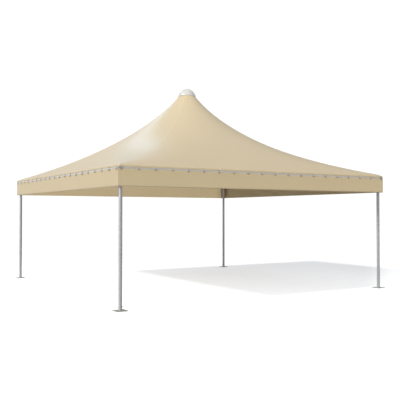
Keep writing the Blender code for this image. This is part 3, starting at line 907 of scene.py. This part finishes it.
def valance_section(thickness, hem_width):
    """The valance's closed section, bottom hem to roped top hem, as (out, height) points.

    The lower hem is a second thickness of cloth turned up behind and welded.
    """
    step = 0.0008
    bottom, seam = VALANCE_BOTTOM, VALANCE_BOTTOM + hem_width
    heights = np.concatenate(
        [
            [bottom + 0.0006, bottom + 0.004],
            np.linspace(bottom + 0.012, seam - 0.003, 3),
            [seam - 0.0008, seam + 0.0008],
            np.linspace(seam + 0.006, VALANCE_ROPE_HEIGHT - 0.012, 14),
        ]
    )
    in_hem = heights < seam
    outer = grid_of(np.where(in_hem, HALF_SIDE, HALF_SIDE - 0.0001), heights)
    around, rise = hem_arc(360.0 - HEM_MEETS)
    rope = grid_of(HEM_ROPE_LINE + around, VALANCE_ROPE_HEIGHT + rise)
    inner = grid_of(HALF_SIDE - thickness - np.where(in_hem, step, 0.0), heights)
    tip = [(HALF_SIDE - 0.0006 - step / 2, bottom)]
    return np.concatenate([outer, rope, inner[::-1], tip])


def valance_lift(across, height):
    """How far the valance stands out: drawn in under each tie, in soft folds that die out below."""
    below = np.clip(VALANCE_ROPE_HEIGHT - height, 0.0, None)
    share = below / (VALANCE_ROPE_HEIGHT - VALANCE_BOTTOM)
    away = from_tie(across)
    pinch = np.exp(-((away / 0.022) ** 2)) * np.exp(-(((below - 0.016) / 0.016) ** 2))
    fan = np.exp(-below / 0.09) * np.minimum(1.0, below / 0.015)
    folds = np.cos(tau * away / sizes().tie_pitch) * fan
    sway = np.sin(1.9 * across + 0.8) * 0.6 + np.sin(5.3 * across + 2.0) * 0.4
    end = np.clip((HALF_SIDE - np.abs(across)) / 0.25, 0.0, 1.0)
    return -0.0022 * pinch - 0.0010 * folds + 0.0030 * sway * share**2 * end


def valance_grid():
    """The front valance as its section carried along the side, mitred at both corners."""
    section = valance_section(sizes().cloth_thickness, sizes().hem_width)
    stations = side_stations()[:, None] / HALF_SIDE
    out, height = section.T
    across = stations * (out - 0.0003)
    lift = valance_lift(across, height) * (np.abs(stations) <= 0.9995)
    down = distance_along(np.vstack([section, section[:1]]))
    grid = grid_of(across, -(out + lift), height)
    return grid, grid_of(stations * HALF_SIDE, down), HALF_SIDE - np.abs(across)


def make_valances(context):
    rope_seam = VALANCE_ROPE_HEIGHT - VALANCE_BOTTOM - 0.032
    seams = [
        ("across", sizes().hem_width, 0.0015),
        ("across", rope_seam, 0.0015),
        ("mark", 0.040, 0.0015),
    ]
    fabric = cloth_material("valance_cloth", colour_of("cloth"), seams, soil=0.018)
    grid, cloth, edge = valance_grid()
    for index, side in enumerate(SIDES):
        shape = Shape().add(moved(grid, side_matrix(index)), ends=True, cloth=cloth, marks=edge)
        sheet = shape.make(f"valance_cloth_{side}", fabric, FABRIC, 60.0, f"valance_{side}")


# Lacing: a loop of elastic goes through the roof's hem and over the rail to a toggle on the valance

ROOF_EYELET_HEIGHT = 0.0315
VALANCE_EYELET_HEIGHT = -0.036
TOGGLE_HEIGHT = -0.0235
ELASTIC_RADIUS = 0.0019

# One strand of a loop, from the roof's eyelet over the rail to the toggle, measured from the rail
LOOP_PATH = (
    (0.0030, 0.010, ROOF_EYELET_HEIGHT - 0.001),
    (0.0031, 0.000, ROOF_EYELET_HEIGHT - 0.0008),
    (0.0034, -0.0034, ROOF_EYELET_HEIGHT - 0.006),
    (0.0038, -0.0032, 0.012),
    (0.0037, -0.0030, -0.002),
    (0.0032, -0.0042, -0.0095),
    (0.0024, -0.0076, -0.0160),
)
EYELET = (
    (0.0032, 0.0),
    (0.0066, 0.0),
    (0.0072, 0.0005),
    (0.0066, 0.0014),
    (0.0046, 0.0019),
    (0.0032, 0.0012),
)


def tie_matrices(index):
    """Where each tie of a side stands, turned a little at random from a fixed seed."""
    random = np.random.default_rng(41 + index)
    for place in tie_places():
        shift, lean = random.normal(0.0, 0.0012), random.normal(0.0, 0.05)
        at = Matrix.Translation((place + shift, -HALF_SIDE, RAIL_HEIGHT))
        yield side_matrix(index) @ at @ Matrix.Rotation(lean, 4, "Y")


def toggle_grid(width):
    """A toggle along X: an oval bead with blunt ends and a waist where the elastic passes."""
    turned = np.linspace(0.03, pi - 0.03, 13)
    half = width / 2
    along = -half * np.cos(turned)
    waist = 1.0 - 0.16 * np.exp(-((along / (0.22 * half)) ** 2))
    bead = turned_grid(grid_of(0.0112 * np.sin(turned) ** 0.62 * waist, along), 14)
    place = Matrix.Translation((0.0, -0.0085, TOGGLE_HEIGHT)) @ Matrix.Diagonal((1, 0.55, 1, 1))
    return moved(moved(bead, Matrix.Rotation(pi / 2, 4, "Y")), place)


def make_lacing(context):
    values = (colour_of("toggle"), 0.42, 700.0, 0.0002, (0.3, 0.27, 0.24))
    moulded = shared_material("toggle_nylon", moulded_material, *values)
    elastic = shared_material("braided_elastic", elastic_material, colour_of("elastic"))
    toggle = toggle_grid(sizes().toggle_width)
    strands = [
        tube_grid(smooth_path(np.multiply(LOOP_PATH, (way, 1.0, 1.0)), 4), ELASTIC_RADIUS)
        for way in (-1, 1)
    ]
    cloth = tube_cloth(strands[0], ELASTIC_RADIUS, 0.0, 0.075)
    eyelet = turned_grid(EYELET, 18)
    rings = [
        moved(eyelet, towards((0.0, out, height), (0.0, -1.0, 0.0)))
        for height, out in ((ROOF_EYELET_HEIGHT, 0.0002), (VALANCE_EYELET_HEIGHT, 0.0004))
    ]
    for index, side in enumerate(SIDES):
        places = list(tie_matrices(index))
        toggles = Shape().copies(toggle, places, ends=True)
        toggles.make(f"tie_toggles_{side}", moulded, PLASTIC)
        loops = Shape()
        for strand in strands:
            loops.copies(strand, places, ends=True, cloth=cloth)
        loops.make(f"tie_loops_{side}", elastic, FABRIC)
        eyelets = Shape()
        for ring in rings:
            eyelets.copies(ring, places)
        eyelets.make(f"hem_eyelets_{side}", steel("plated_bolt"), STEEL)


# Pipes


def span(node, axis):
    """Where a node's box starts along an axis, and how long it is."""
    low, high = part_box(node)
    return low[axis], high[axis] - low[axis]


def make_pipes(context):
    foot, length = span("leg_front_left", 2)
    leg, stand = pipe_grid(PIPE_RADIUS, length, 48), (-LEG_LINE, -LEG_LINE, foot)
    pipes = [
        (f"leg_pipe_{corner}", f"leg_{corner}", leg, side_matrix(index) @ Matrix.Translation(stand))
        for index, corner in enumerate(CORNERS)
    ]
    start, length = span("eave_beam_front", 0)
    beam, lie = pipe_grid(PIPE_RADIUS, length, 40), (start, -LEG_LINE, BEAM_HEIGHT)
    for index, side in enumerate(SIDES):
        at = side_matrix(index) @ towards(lie, (1.0, 0.0, 0.0))
        pipes.append((f"eave_pipe_{side}", f"eave_beam_{side}", beam, at))
    foot, length = span("mast", 2)
    mast = pipe_grid(PIPE_RADIUS, length, 48)
    pipes.append(("mast_pipe", "mast", mast, Matrix.Translation((0.0, 0.0, foot))))
    for name, node, grid, place in pipes:
        Shape().add(moved(grid, place)).make(name, steel("galvanised_pipe"), STEEL, node=node)
    make_rails()


def make_rails():
    """The lacing rails, each with the three welded lugs that tie it to the eave beam."""
    start, length = span("lacing_rail_front", 0)
    rail = pipe_grid(RAIL_RADIUS, length, 36)
    rise, inward = BEAM_HEIGHT - RAIL_HEIGHT, LEG_LINE - RAIL_LINE
    lug = lug_grid(RAIL_RADIUS - 0.001, hypot(rise, inward) - PIPE_RADIUS - 0.0003)
    foot = (0.0, RAIL_RADIUS - 0.0002, 0.0)
    bead = bead_grid(foot, (0.0055, 0.0, 0.0), (0.0, 0.0, 0.0085), 0.0016, 72, 20)
    lean = Matrix.Rotation(atan2(rise, -inward), 4, "X")
    for index, side in enumerate(SIDES):
        turn = side_matrix(index)
        at = turn @ towards((start, -RAIL_LINE, RAIL_HEIGHT), (1.0, 0.0, 0.0))
        shape = Shape().add(moved(rail, at))
        for place in (-LEG_LINE / 2, 0.0, LEG_LINE / 2):
            stand = turn @ Matrix.Translation((place, -RAIL_LINE, RAIL_HEIGHT)) @ lean
            shape.add(moved(lug, stand), ends=True).add(moved(bead, stand))
        name, node = f"lacing_pipe_{side}", f"lacing_rail_{side}"
        shape.make(name, steel("galvanised_rail"), STEEL, node=node)


def lug_grid(start, end):
    """A flat bar along +Y with chamfered corners: its section carried from start to end."""
    x, z, cut = 0.004, 0.007, 0.001
    quarter = np.array([(x, z - cut), (x - cut, z)])
    half = np.concatenate([quarter, quarter[::-1] * (-1, 1)])
    ring = np.concatenate([half, -half])
    along = np.array([[start], [(start + end) / 2], [end]])
    return grid_of(ring[:, 0], along, ring[:, 1])


def rippled(radius, turned):
    """A weld bead's radius, which swells once for each half turn."""
    return radius * (1.0 + 0.16 * np.abs(np.sin(turned)))


def bead_grid(middle, first, second, radius, steps=90, ripples=40):
    """A closed weld bead: a round section carried round an ellipse, rippled as it goes.

    A point of the ellipse is the middle, with the first half axis times the cosine of the angle
    and the second times its sine.
    """
    turned = circle(steps)[:, None]
    outward = np.cos(turned) * first + np.sin(turned) * second
    path = outward + middle
    tangent = unit(np.cos(turned) * second - np.sin(turned) * first)
    outward = unit(outward - (outward * tangent).sum(axis=1, keepdims=True) * tangent)
    swell = rippled(radius, ripples * turned[:, 0] / 2)
    return swept_ring(path, swell, outward, np.cross(tangent, outward))


# Fittings, bolts and weld beads


def make_fittings(context):
    for corner in CORNERS:
        softened(f"base_plate_{corner}", f"foot_plate_{corner}", 0.0012)
        softened(f"corner_bracket_{corner}", f"corner_fitting_{corner}", 0.0009)
        softened(f"turnbuckle_{corner}", f"tensioner_{corner}", 0.0007)
    softened("mast_foot", "mast_hub", 0.0009)
    low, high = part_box("mast_head")
    top, radius, base = high.z, high.x, low.z
    under, band = top - 0.008, top - 0.050
    socket, bore = PIPE_RADIUS + 0.0053, PIPE_RADIUS + 0.0003
    disc = [(0.0005, top), (radius - 0.003, top), (radius - 0.0008, top - 0.0008)]
    outside = [(radius, top - 0.003), (radius, band + 0.001), (radius - 0.001, band)]
    bore_line = radius - 0.005
    inside = [(radius - 0.004, band), (bore_line, band + 0.001), (bore_line, under - 0.002)]
    web = [(radius - 0.007, under), (socket + 0.003, under), (socket + 0.001, under - 0.001)]
    sleeve = [(socket, under - 0.004), (socket, base + 0.001), (socket - 0.001, base)]
    hole = [(bore, base), (bore, under), (0.0005, under)]
    crown = Shape().add(turned_grid(disc + outside + inside + web + sleeve + hole, 88))
    crown.make("mast_crown", steel("galvanised_fitting"), STEEL, node="mast_head")


def add_bolt(shape, place, grip, size=0.010):
    """A hexagon bolt along Z, whose clamped length is grip: washers, head, nut and shank end."""
    head, nut, flat, half = 0.64 * size, 0.8 * size, 0.92 * size, grip / 2
    washer = [(size / 2, 0.0), (size, 0.0), (size, 0.002), (size / 2, 0.002)]
    for way, tall in ((1, head), (-1, nut)):
        face = place @ Matrix.Translation((0.0, 0.0, way * half)) @ Matrix.Diagonal((1, 1, way, 1))
        shape.add(moved(turned_grid(washer, 24), face))
        foot, top = [(0.93 * flat, 0.0), (flat, 0.0006)], [(0.86 * flat, tall), (0.1 * flat, tall)]
        hexagon = turned_grid([*foot, (flat, tall - 0.0012), *top], 6)
        shape.add(moved(hexagon, face @ Matrix.Translation((0.0, 0.0, 0.002))), ends=True)
    shank = [(size * 0.5, 0.0), (size * 0.5, nut + 0.0055)]
    tip = [(size * 0.42, nut + 0.007), (size * 0.05, nut + 0.007)]
    stub = place @ Matrix.Translation((0.0, 0.0, -half - 0.0015)) @ Matrix.Diagonal((1, 1, -1, 1))
    shape.add(moved(turned_grid(shank + tip, 14), stub), ends=True)


def make_bolts(context):
    leg, rail, grip = -LEG_LINE, -RAIL_LINE, 2 * PIPE_RADIUS
    on_beam, on_rail = leg + 0.105, leg + 0.075
    in_foot, in_bracket, in_hub, in_crown = 0.066, 2.18, 2.31, 4.09
    pipe_bolts = (
        ((leg, leg, in_foot), (-1.0, 0.0, 0.0), 0.3),
        ((leg, leg, in_bracket), (0.0, 1.0, 0.0), 0.1),
        ((on_beam, leg, BEAM_HEIGHT), (0.0, 1.0, 0.0), 0.5),
        ((leg, on_beam, BEAM_HEIGHT), (1.0, 0.0, 0.0), 0.2),
    )
    rail_bolts = (
        ((on_rail, rail, RAIL_HEIGHT), (0.0, 0.5, -1.0), 0.5),
        ((rail, on_rail, RAIL_HEIGHT), (0.5, 0.0, -1.0), 0.5),
    )
    for index, corner in enumerate(CORNERS):
        shape = Shape()
        for place in pipe_bolts:
            add_bolt(shape, side_matrix(index) @ towards(*place), grip)
        for place in rail_bolts:
            add_bolt(shape, side_matrix(index) @ towards(*place), 2 * RAIL_RADIUS, 0.008)
        shape.make(f"corner_bolts_{corner}", steel("plated_bolt"), STEEL, 25.0)
    shape = Shape()
    for height, wider in ((in_hub, 0.0), (in_crown, 0.0106)):
        add_bolt(shape, towards((0.0, 0.0, height), (1.0, 0.0, 0.0)), grip + wider)
    shape.make("mast_bolts", steel("plated_bolt"), STEEL, 25.0)


def line_bead_grid(x, y, low, high, radius, ripples):
    """An upright weld bead, which swells once for each ripple and has round ends."""
    share = np.linspace(0.0, 1.0, ripples * 5 + 1)
    swell = rippled(radius, ripples * pi * share)
    swell *= np.sqrt(np.clip(1 - (2 * share - 1) ** 8, 0.03, 1.0))
    across = unit(np.cross((0.0, 0.0, high - low), (0.3, 0.5, 0.9)))
    return tube_grid(grid_of(x, y, low * (1 - share) + high * share), swell, across)


def ring_bead_grid(ring, height, radius):
    """A level weld bead round Z."""
    return bead_grid((0.0, 0.0, height), (ring, 0.0, 0.0), (0.0, ring, 0.0), radius)


def make_welds(context):
    corner_to_rail = LEG_LINE - RAIL_LINE
    half_web, hub = 0.004, 0.028
    bracket_foot, lug_height, lug_half = 2.262, 2.283, 0.018
    miter = (-RAIL_RADIUS, -RAIL_RADIUS, 0.0)
    middle = (corner_to_rail, corner_to_rail, RAIL_HEIGHT)
    rings = [
        bead_grid(middle, miter, (0.0, 0.0, RAIL_RADIUS), 0.0014, 96, 44),
        ring_bead_grid(PIPE_RADIUS - 0.003, bracket_foot + 0.0004, 0.0012),
    ]
    on_leg, half_lug = PIPE_RADIUS / sqrt(2) + 0.0012, half_web / sqrt(2)
    low, high = lug_height - lug_half, lug_height + lug_half
    beads = [
        line_bead_grid(on_leg - side, on_leg + side, low, high, 0.0022, 9)
        for side in (-half_lug, half_lug)
    ]
    arc = np.linspace(pi + 0.25, 1.5 * pi - 0.25, 50)
    reach = PIPE_RADIUS + 0.0008
    for level in (RAIL_HEIGHT - half_web, RAIL_HEIGHT + half_web):
        path = grid_of(reach * np.cos(arc), reach * np.sin(arc), level)
        swell = rippled(0.0022, np.linspace(0.0, 10 * pi, 50))
        beads.append(tube_grid(path, swell, (0.0, 0.0, 1.0)))
    for index, corner in enumerate(CORNERS):
        at = [side_matrix(index) @ Matrix.Translation((-LEG_LINE, -LEG_LINE, 0.0))]
        shape = Shape().copies(rings[0], at)
        for bead in beads:
            shape.copies(bead, at, ends=True)
        shape.copies(rings[1], at)
        shape.make(f"corner_welds_{corner}", steel("weld_bead"), STEEL, 50.0)
    turns = [Matrix.Rotation(pi / 4 + index * pi / 2, 4, "Z") for index in range(4)]
    half_lug, low, high = 0.0048, 2.200, 2.232
    flange_top, sleeve_foot = 2.2376, 2.2506
    shape = Shape()
    for turn in turns:
        for side in (-half_lug, half_lug):
            bead = line_bead_grid(hub + 0.0008, side, low, high, 0.0020, 8)
            shape.add(moved(bead, turn), ends=True)
    for ring, height in ((hub + 0.0006, flange_top), (PIPE_RADIUS - 0.004, sleeve_foot)):
        shape.add(ring_bead_grid(ring, height, 0.0018))
    shape.make("mast_welds", steel("weld_bead"), STEEL, 50.0)


# Cables: from the pins on the mast foot to the pins on the corner brackets

CABLE_FOOT = 0.080 / sqrt(2)
CABLE_CORNER = LEG_LINE - 0.068 / sqrt(2)
CABLE_FOOT_HEIGHT = 2.215
CABLE_CORNER_HEIGHT = 2.283


def cable_matrix(index):
    """A matrix whose +Z runs from the mast foot's pin to the corner's pin, and the way's length."""
    start = Vector((-CABLE_FOOT, -CABLE_FOOT, CABLE_FOOT_HEIGHT))
    end = Vector((-CABLE_CORNER, -CABLE_CORNER, CABLE_CORNER_HEIGHT))
    return side_matrix(index) @ towards(start, end - start), (end - start).length


def strand_grid(start, end, radius, lay):
    """Six strands laid round each other: a six-lobed section that turns as it goes along Z."""
    along = np.linspace(start, end, int((end - start) / 0.0065))[:, None]
    around = circle(36)
    reach = radius * (0.80 + 0.20 * np.abs(np.cos(3 * around)) ** 0.6)
    spun = around + tau * along / lay
    return grid_of(reach * np.cos(spun), reach * np.sin(spun), along)


def make_cables(context):
    """The strands between a cable's ends, and the ends, whose solid lacks its plain round rope."""
    strand = shared_material("wire_strand", rope_material, (0.42, 0.43, 0.44))
    for index, corner in enumerate(CORNERS):
        matrix, length = cable_matrix(index)
        start, end = 0.108, length - 0.260 - 0.048
        grid = strand_grid(start, end, 0.0062, sizes().strand_lay)
        cloth = tube_cloth(grid, 0.006, start, end)
        rope = Shape().add(moved(grid, matrix), ends=True, cloth=cloth)
        rope.make(f"cable_strands_{corner}", strand, WIRE, 80.0)

        def keep(points, inverse=matrix.inverted(), start=start, end=end):
            x, y, z = moved(points, inverse).T
            return ~((z > start - 0.0001) & (z < end + 0.004) & (np.hypot(x, y) < 0.0065))

        softened(f"roof_cable_{corner}", f"cable_ends_{corner}", 0.0006, WIRE, keep)


# Cap

CAP_FULLNESS = 1.7
CAP_REACH = 0.029
CAP_LAP = 0.035


def make_cap(context):
    """The cap: a dome that goes on down past the crown, with a bead round its rim and screws.

    The dome's radius and height go by the sine and the cosine of an angle, each to the power
    2 / CAP_FULLNESS.
    """
    values = (colour_of("cap"), 0.34, 260.0, 0.00012, (0.8, 0.8, 0.8))
    plastic = shared_material("cap_moulding", moulded_material, *values)
    low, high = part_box("top_cap")
    radius, base, ledge = high.x + CAP_REACH, low.z - CAP_LAP, low.z
    wall, tall = 0.003, high.z - base
    turned = np.linspace(0.0, pi / 2, 34)[::-1]
    across, up = np.sin(turned) ** (2 / CAP_FULLNESS), np.cos(turned) ** (2 / CAP_FULLNESS)
    outer, inner = (
        grid_of(np.maximum((radius - inset) * across, 0.0006), base + (tall - inset) * up)
        for inset in (0.0, wall)
    )
    outer[:, 0] -= 0.0016 * np.exp(-(((outer[:, 1] - base - 0.030) / 0.004) ** 2))
    outer = outer[outer[:, 1] > base + 0.010]
    bead, round_rim = tau * np.arange(-2, 8) / 14, 0.0035
    rim_out, rim_up = radius - round_rim, base + 0.0036
    rim = grid_of(rim_out + round_rim * np.cos(bead), rim_up - round_rim * np.sin(bead))
    skirt = inner[(inner[:, 1] > base + 0.008) & (inner[:, 1] < ledge - 0.001)]
    under = inner[inner[:, 1] > ledge + wall + 0.001]
    at_ledge, hole, cut = np.interp(ledge, *inner.T[::-1]), 0.150, 0.0008
    shelf_low = [(at_ledge, ledge), (hole + cut, ledge), (hole, ledge + cut)]
    top = ledge + wall
    shelf_high = [(hole, top - cut), (hole + cut, top), (at_ledge - 0.001, top)]
    profile = np.concatenate([outer[::-1], rim, skirt, shelf_low, shelf_high, under])
    dome = Shape().add(turned_grid(profile, 96))
    dome.make("peak_cap", plastic, PLASTIC, 40.0, "top_cap")
    screws = Shape()
    face = [(0.0006, 0.0022), (0.0030, 0.0019), (0.0046, 0.0009)]
    head, seat_up = turned_grid([*face, (0.0050, -0.001), (0.0006, -0.001)], 14), 0.022
    seat_out = radius * (1 - (seat_up / tall) ** CAP_FULLNESS) ** (1 / CAP_FULLNESS)
    seat = towards((seat_out - 0.0004, 0.0, base + seat_up), (1.0, 0.0, 0.12))
    for index in range(8):
        turn = Matrix.Rotation(tau * (index + 0.5) / 8, 4, "Z")
        screws.add(moved(head, turn @ seat))
    screws.make("cap_screws", steel("plated_bolt"), STEEL, 40.0)


# Stage

CAMERA_PLACE = (-6.991, -12.049, 1.570)
CAMERA_YAW = radians(31.34)
CAMERA_PITCH = radians(1.17)
SUN_FROM = (-0.8425, -0.055, 0.536)
FILL_FROM = (0.0, -1.0, -0.07)

# Azimuth and elevation of the softbox
SOFTBOX_TURN = (radians(73.5), radians(32.0))

# Soft lobes of the sky: where each stands, its inner and outer half width in degrees, its strength
SKY_LOBES = {
    "above": ((0.0, 0.0, 1.0), 15.0, 80.0, 0.72),
    "behind": ((0.27, 0.94, 0.2), 12.0, 34.0, 0.37),
}

# Seen in reflections only: a wide card on the left and an even light
CARD_LOBE = ((-0.95, 0.30, 0.0), 40.0, 100.0, 0.55)
REFLECTED_SKY = 0.20


def set_up(scene, name, data, place, target, **settings):
    """Stands a camera or lamp upright at a place, facing a target."""
    for key, value in settings.items():
        setattr(data, key, value)
    thing = bpy.data.objects.new(name, data)
    turn = (Vector(target) - Vector(place)).to_track_quat("-Z", "Y").to_matrix().to_4x4()
    thing.matrix_world = Matrix.Translation(place) @ turn
    scene.collection.objects.link(thing)
    return thing


def add_sun(scene, name, way, strength, softness):
    """A lamp whose light comes from one direction."""
    place, settings = 30.0 * Vector(way), {"energy": strength, "angle": softness}
    light = bpy.data.lights.new(name, "SUN")
    return set_up(scene, name, light, place, (0.0, 0.0, 0.0), **settings)


def make_stage(context):
    """Camera at the photo's view, a key light from the left, soft lights and a pale floor."""
    scene, stage = context.scene, context.scene.marquee_stage
    aim = Vector((sin(CAMERA_YAW), cos(CAMERA_YAW), tan(CAMERA_PITCH)))
    name, target = "Photo camera", Vector(CAMERA_PLACE) + aim
    optics = {"lens": stage.lens, "sensor_width": 36.0, "sensor_fit": "HORIZONTAL"}
    camera = bpy.data.cameras.new(name)
    scene.camera = set_up(scene, name, camera, CAMERA_PLACE, target, clip_end=400.0, **optics)
    add_sun(scene, "Key light", SUN_FROM, stage.sun_strength, stage.sun_softness)
    # The fill comes from just below the level, so it reaches the far valances from inside
    fill = add_sun(scene, "Fill", FILL_FROM, stage.fill_strength, radians(3.0))
    fill.visible_glossy = False
    # The softbox shows as the whitish gloss on the hip, and lights nothing else
    around, up = SOFTBOX_TURN
    level = cos(up)
    place = 80.0 * Vector((cos(around) * level, sin(around) * level, sin(up)))
    form = {"shape": "ELLIPSE", "size": 20.5, "size_y": 18.0, "color": (0.45, 0.72, 1.0)}
    light = bpy.data.lights.new("Softbox", "AREA")
    power, target = stage.softbox_strength, (0.0, 0.0, 3.0)
    softbox = set_up(scene, "Softbox", light, place, target, energy=power, **form)
    softbox.visible_camera = softbox.visible_diffuse = False
    make_sky(scene, stage)
    make_floor(scene)
    scene.view_settings.view_transform = "Standard"
    scene.view_settings.look = "None"


def make_sky(scene, stage):
    """An even pale sky with a few wide lobes, which shows as pure white itself."""
    world = scene.world = bpy.data.worlds.new("Studio sky")
    world.use_nodes = True
    nodes = Nodes(world.node_tree)
    direction = nodes.read("ShaderNodeTexCoord")["Generated"]

    def add_lobe(lobe, strength):
        axis, inner, outer, light = lobe
        facing = nodes.dot(direction, tuple(Vector(axis).normalized()))
        share = nodes.spread(facing, cos(radians(outer)), cos(radians(inner)))
        return nodes.scaled(share, light, strength)

    strength = stage.sky_strength
    for lobe in SKY_LOBES.values():
        strength = add_lobe(lobe, strength)
    glossy = nodes.read("ShaderNodeLightPath")["Is Glossy Ray"]
    strength = nodes.scaled(add_lobe(CARD_LOBE, REFLECTED_SKY), glossy, strength)
    white = (1.0, 1.0, 1.0)
    lit = world.node_tree.nodes["Background"]
    nodes.give(lit, {"Color": white, "Strength": strength})
    seen = nodes.add("ShaderNodeBackground", {"Color": white, "Strength": 1.05})
    nodes.show("World Output", lit, seen)


def make_floor(scene):
    """A round floor, its rings widening outwards, level with the tent's feet."""
    rings, sides = [(radius, 0.0) for radius in (0.02, 2.0, 6.0, 14.0, 30.0, 60.0)], 64
    faces = grid_faces(len(rings), sides, False)[:, ::-1].tolist() + [list(range(sides))]
    mesh = bpy.data.meshes.new("studio_floor")
    mesh.from_pydata(turned_grid(rings, sides).reshape(-1, 3), [], faces)
    mesh.materials.append(shared_material("studio_floor", floor_material))
    floor = bpy.data.objects.new("studio_floor", mesh)
    scene.collection.objects.link(floor)
    floor.visible_shadow = False


# Operators, panel and registration


class MarqueeOperator:
    """Runs one builder function and passes on whatever goes wrong in it."""

    bl_options = {"REGISTER"}

    def execute(self, context):
        self.build(context)
        return {"FINISHED"}


class MARQUEE_OT_roof(MarqueeOperator, Operator):
    """Lay the roof sheet over the beams and fold its roped hem over the rail"""

    bl_idname = "marquee.roof"
    bl_label = "Roof sheet"
    build = staticmethod(make_roof_sheet)


class MARQUEE_OT_valances(MarqueeOperator, Operator):
    """Hang the four valances from the lacing rail"""

    bl_idname = "marquee.valances"
    bl_label = "Valances"
    build = staticmethod(make_valances)


class MARQUEE_OT_lacing(MarqueeOperator, Operator):
    """Lace roof and valances over the rail with elastic loops and toggles"""

    bl_idname = "marquee.lacing"
    bl_label = "Lacing"
    build = staticmethod(make_lacing)


class MARQUEE_OT_pipes(MarqueeOperator, Operator):
    """Set up the legs, eave beams, lacing rails and mast"""

    bl_idname = "marquee.pipes"
    bl_label = "Pipes"
    build = staticmethod(make_pipes)


class MARQUEE_OT_fittings(MarqueeOperator, Operator):
    """Round off the base plates, corner fittings, tensioners and mast ends"""

    bl_idname = "marquee.fittings"
    bl_label = "Fittings"
    build = staticmethod(make_fittings)


class MARQUEE_OT_bolts(MarqueeOperator, Operator):
    """Bolt the pipes to their fittings"""

    bl_idname = "marquee.bolts"
    bl_label = "Bolts"
    build = staticmethod(make_bolts)


class MARQUEE_OT_welds(MarqueeOperator, Operator):
    """Run the weld beads of the corner fittings and the mast foot"""

    bl_idname = "marquee.welds"
    bl_label = "Weld beads"
    build = staticmethod(make_welds)


class MARQUEE_OT_cables(MarqueeOperator, Operator):
    """Twist the strands of the roof cables between their ends"""

    bl_idname = "marquee.cables"
    bl_label = "Roof cables"
    build = staticmethod(make_cables)


class MARQUEE_OT_cap(MarqueeOperator, Operator):
    """Screw the moulded cap over the crown"""

    bl_idname = "marquee.cap"
    bl_label = "Cap"
    build = staticmethod(make_cap)


class MARQUEE_OT_stage(MarqueeOperator, Operator):
    """Place the camera, lights, sky and floor"""

    bl_idname = "marquee.stage"
    bl_label = "Stage"
    build = staticmethod(make_stage)


OPERATORS = (
    MARQUEE_OT_stage,
    MARQUEE_OT_pipes,
    MARQUEE_OT_fittings,
    MARQUEE_OT_roof,
    MARQUEE_OT_valances,
    MARQUEE_OT_lacing,
    MARQUEE_OT_cables,
    MARQUEE_OT_bolts,
    MARQUEE_OT_welds,
    MARQUEE_OT_cap,
)
GROUPS = {
    "marquee_sizes": MarqueeSizes,
    "marquee_colours": MarqueeColours,
    "marquee_stage": MarqueeStage,
}


class MARQUEE_PT_panel(Panel):
    """Lists the tent's pieces with their sizes and colours"""

    bl_idname = "MARQUEE_PT_panel"
    bl_label = "Marquee tent"
    bl_space_type = "VIEW_3D"
    bl_region_type = "UI"
    bl_category = "Marquee"

    def draw(self, context):
        for operator in OPERATORS:
            self.layout.operator(operator.bl_idname)
        for key, group in GROUPS.items():
            box = self.layout.box()
            for name in group.__annotations__:
                box.prop(getattr(context.scene, key), name)


def register():
    for cls in (*GROUPS.values(), *OPERATORS, MARQUEE_PT_panel):
        bpy.utils.register_class(cls)
    for key, group in GROUPS.items():
        setattr(bpy.types.Scene, key, PointerProperty(type=group))


def unregister():
    for key in GROUPS:
        delattr(bpy.types.Scene, key)
    for cls in (MARQUEE_PT_panel, *reversed(OPERATORS), *reversed(GROUPS.values())):
        bpy.utils.unregister_class(cls)


def main():
    register()
    for operator in OPERATORS:
        area, name = operator.bl_idname.split(".")
        getattr(getattr(bpy.ops, area), name)()


if __name__ == "__main__":
    main()
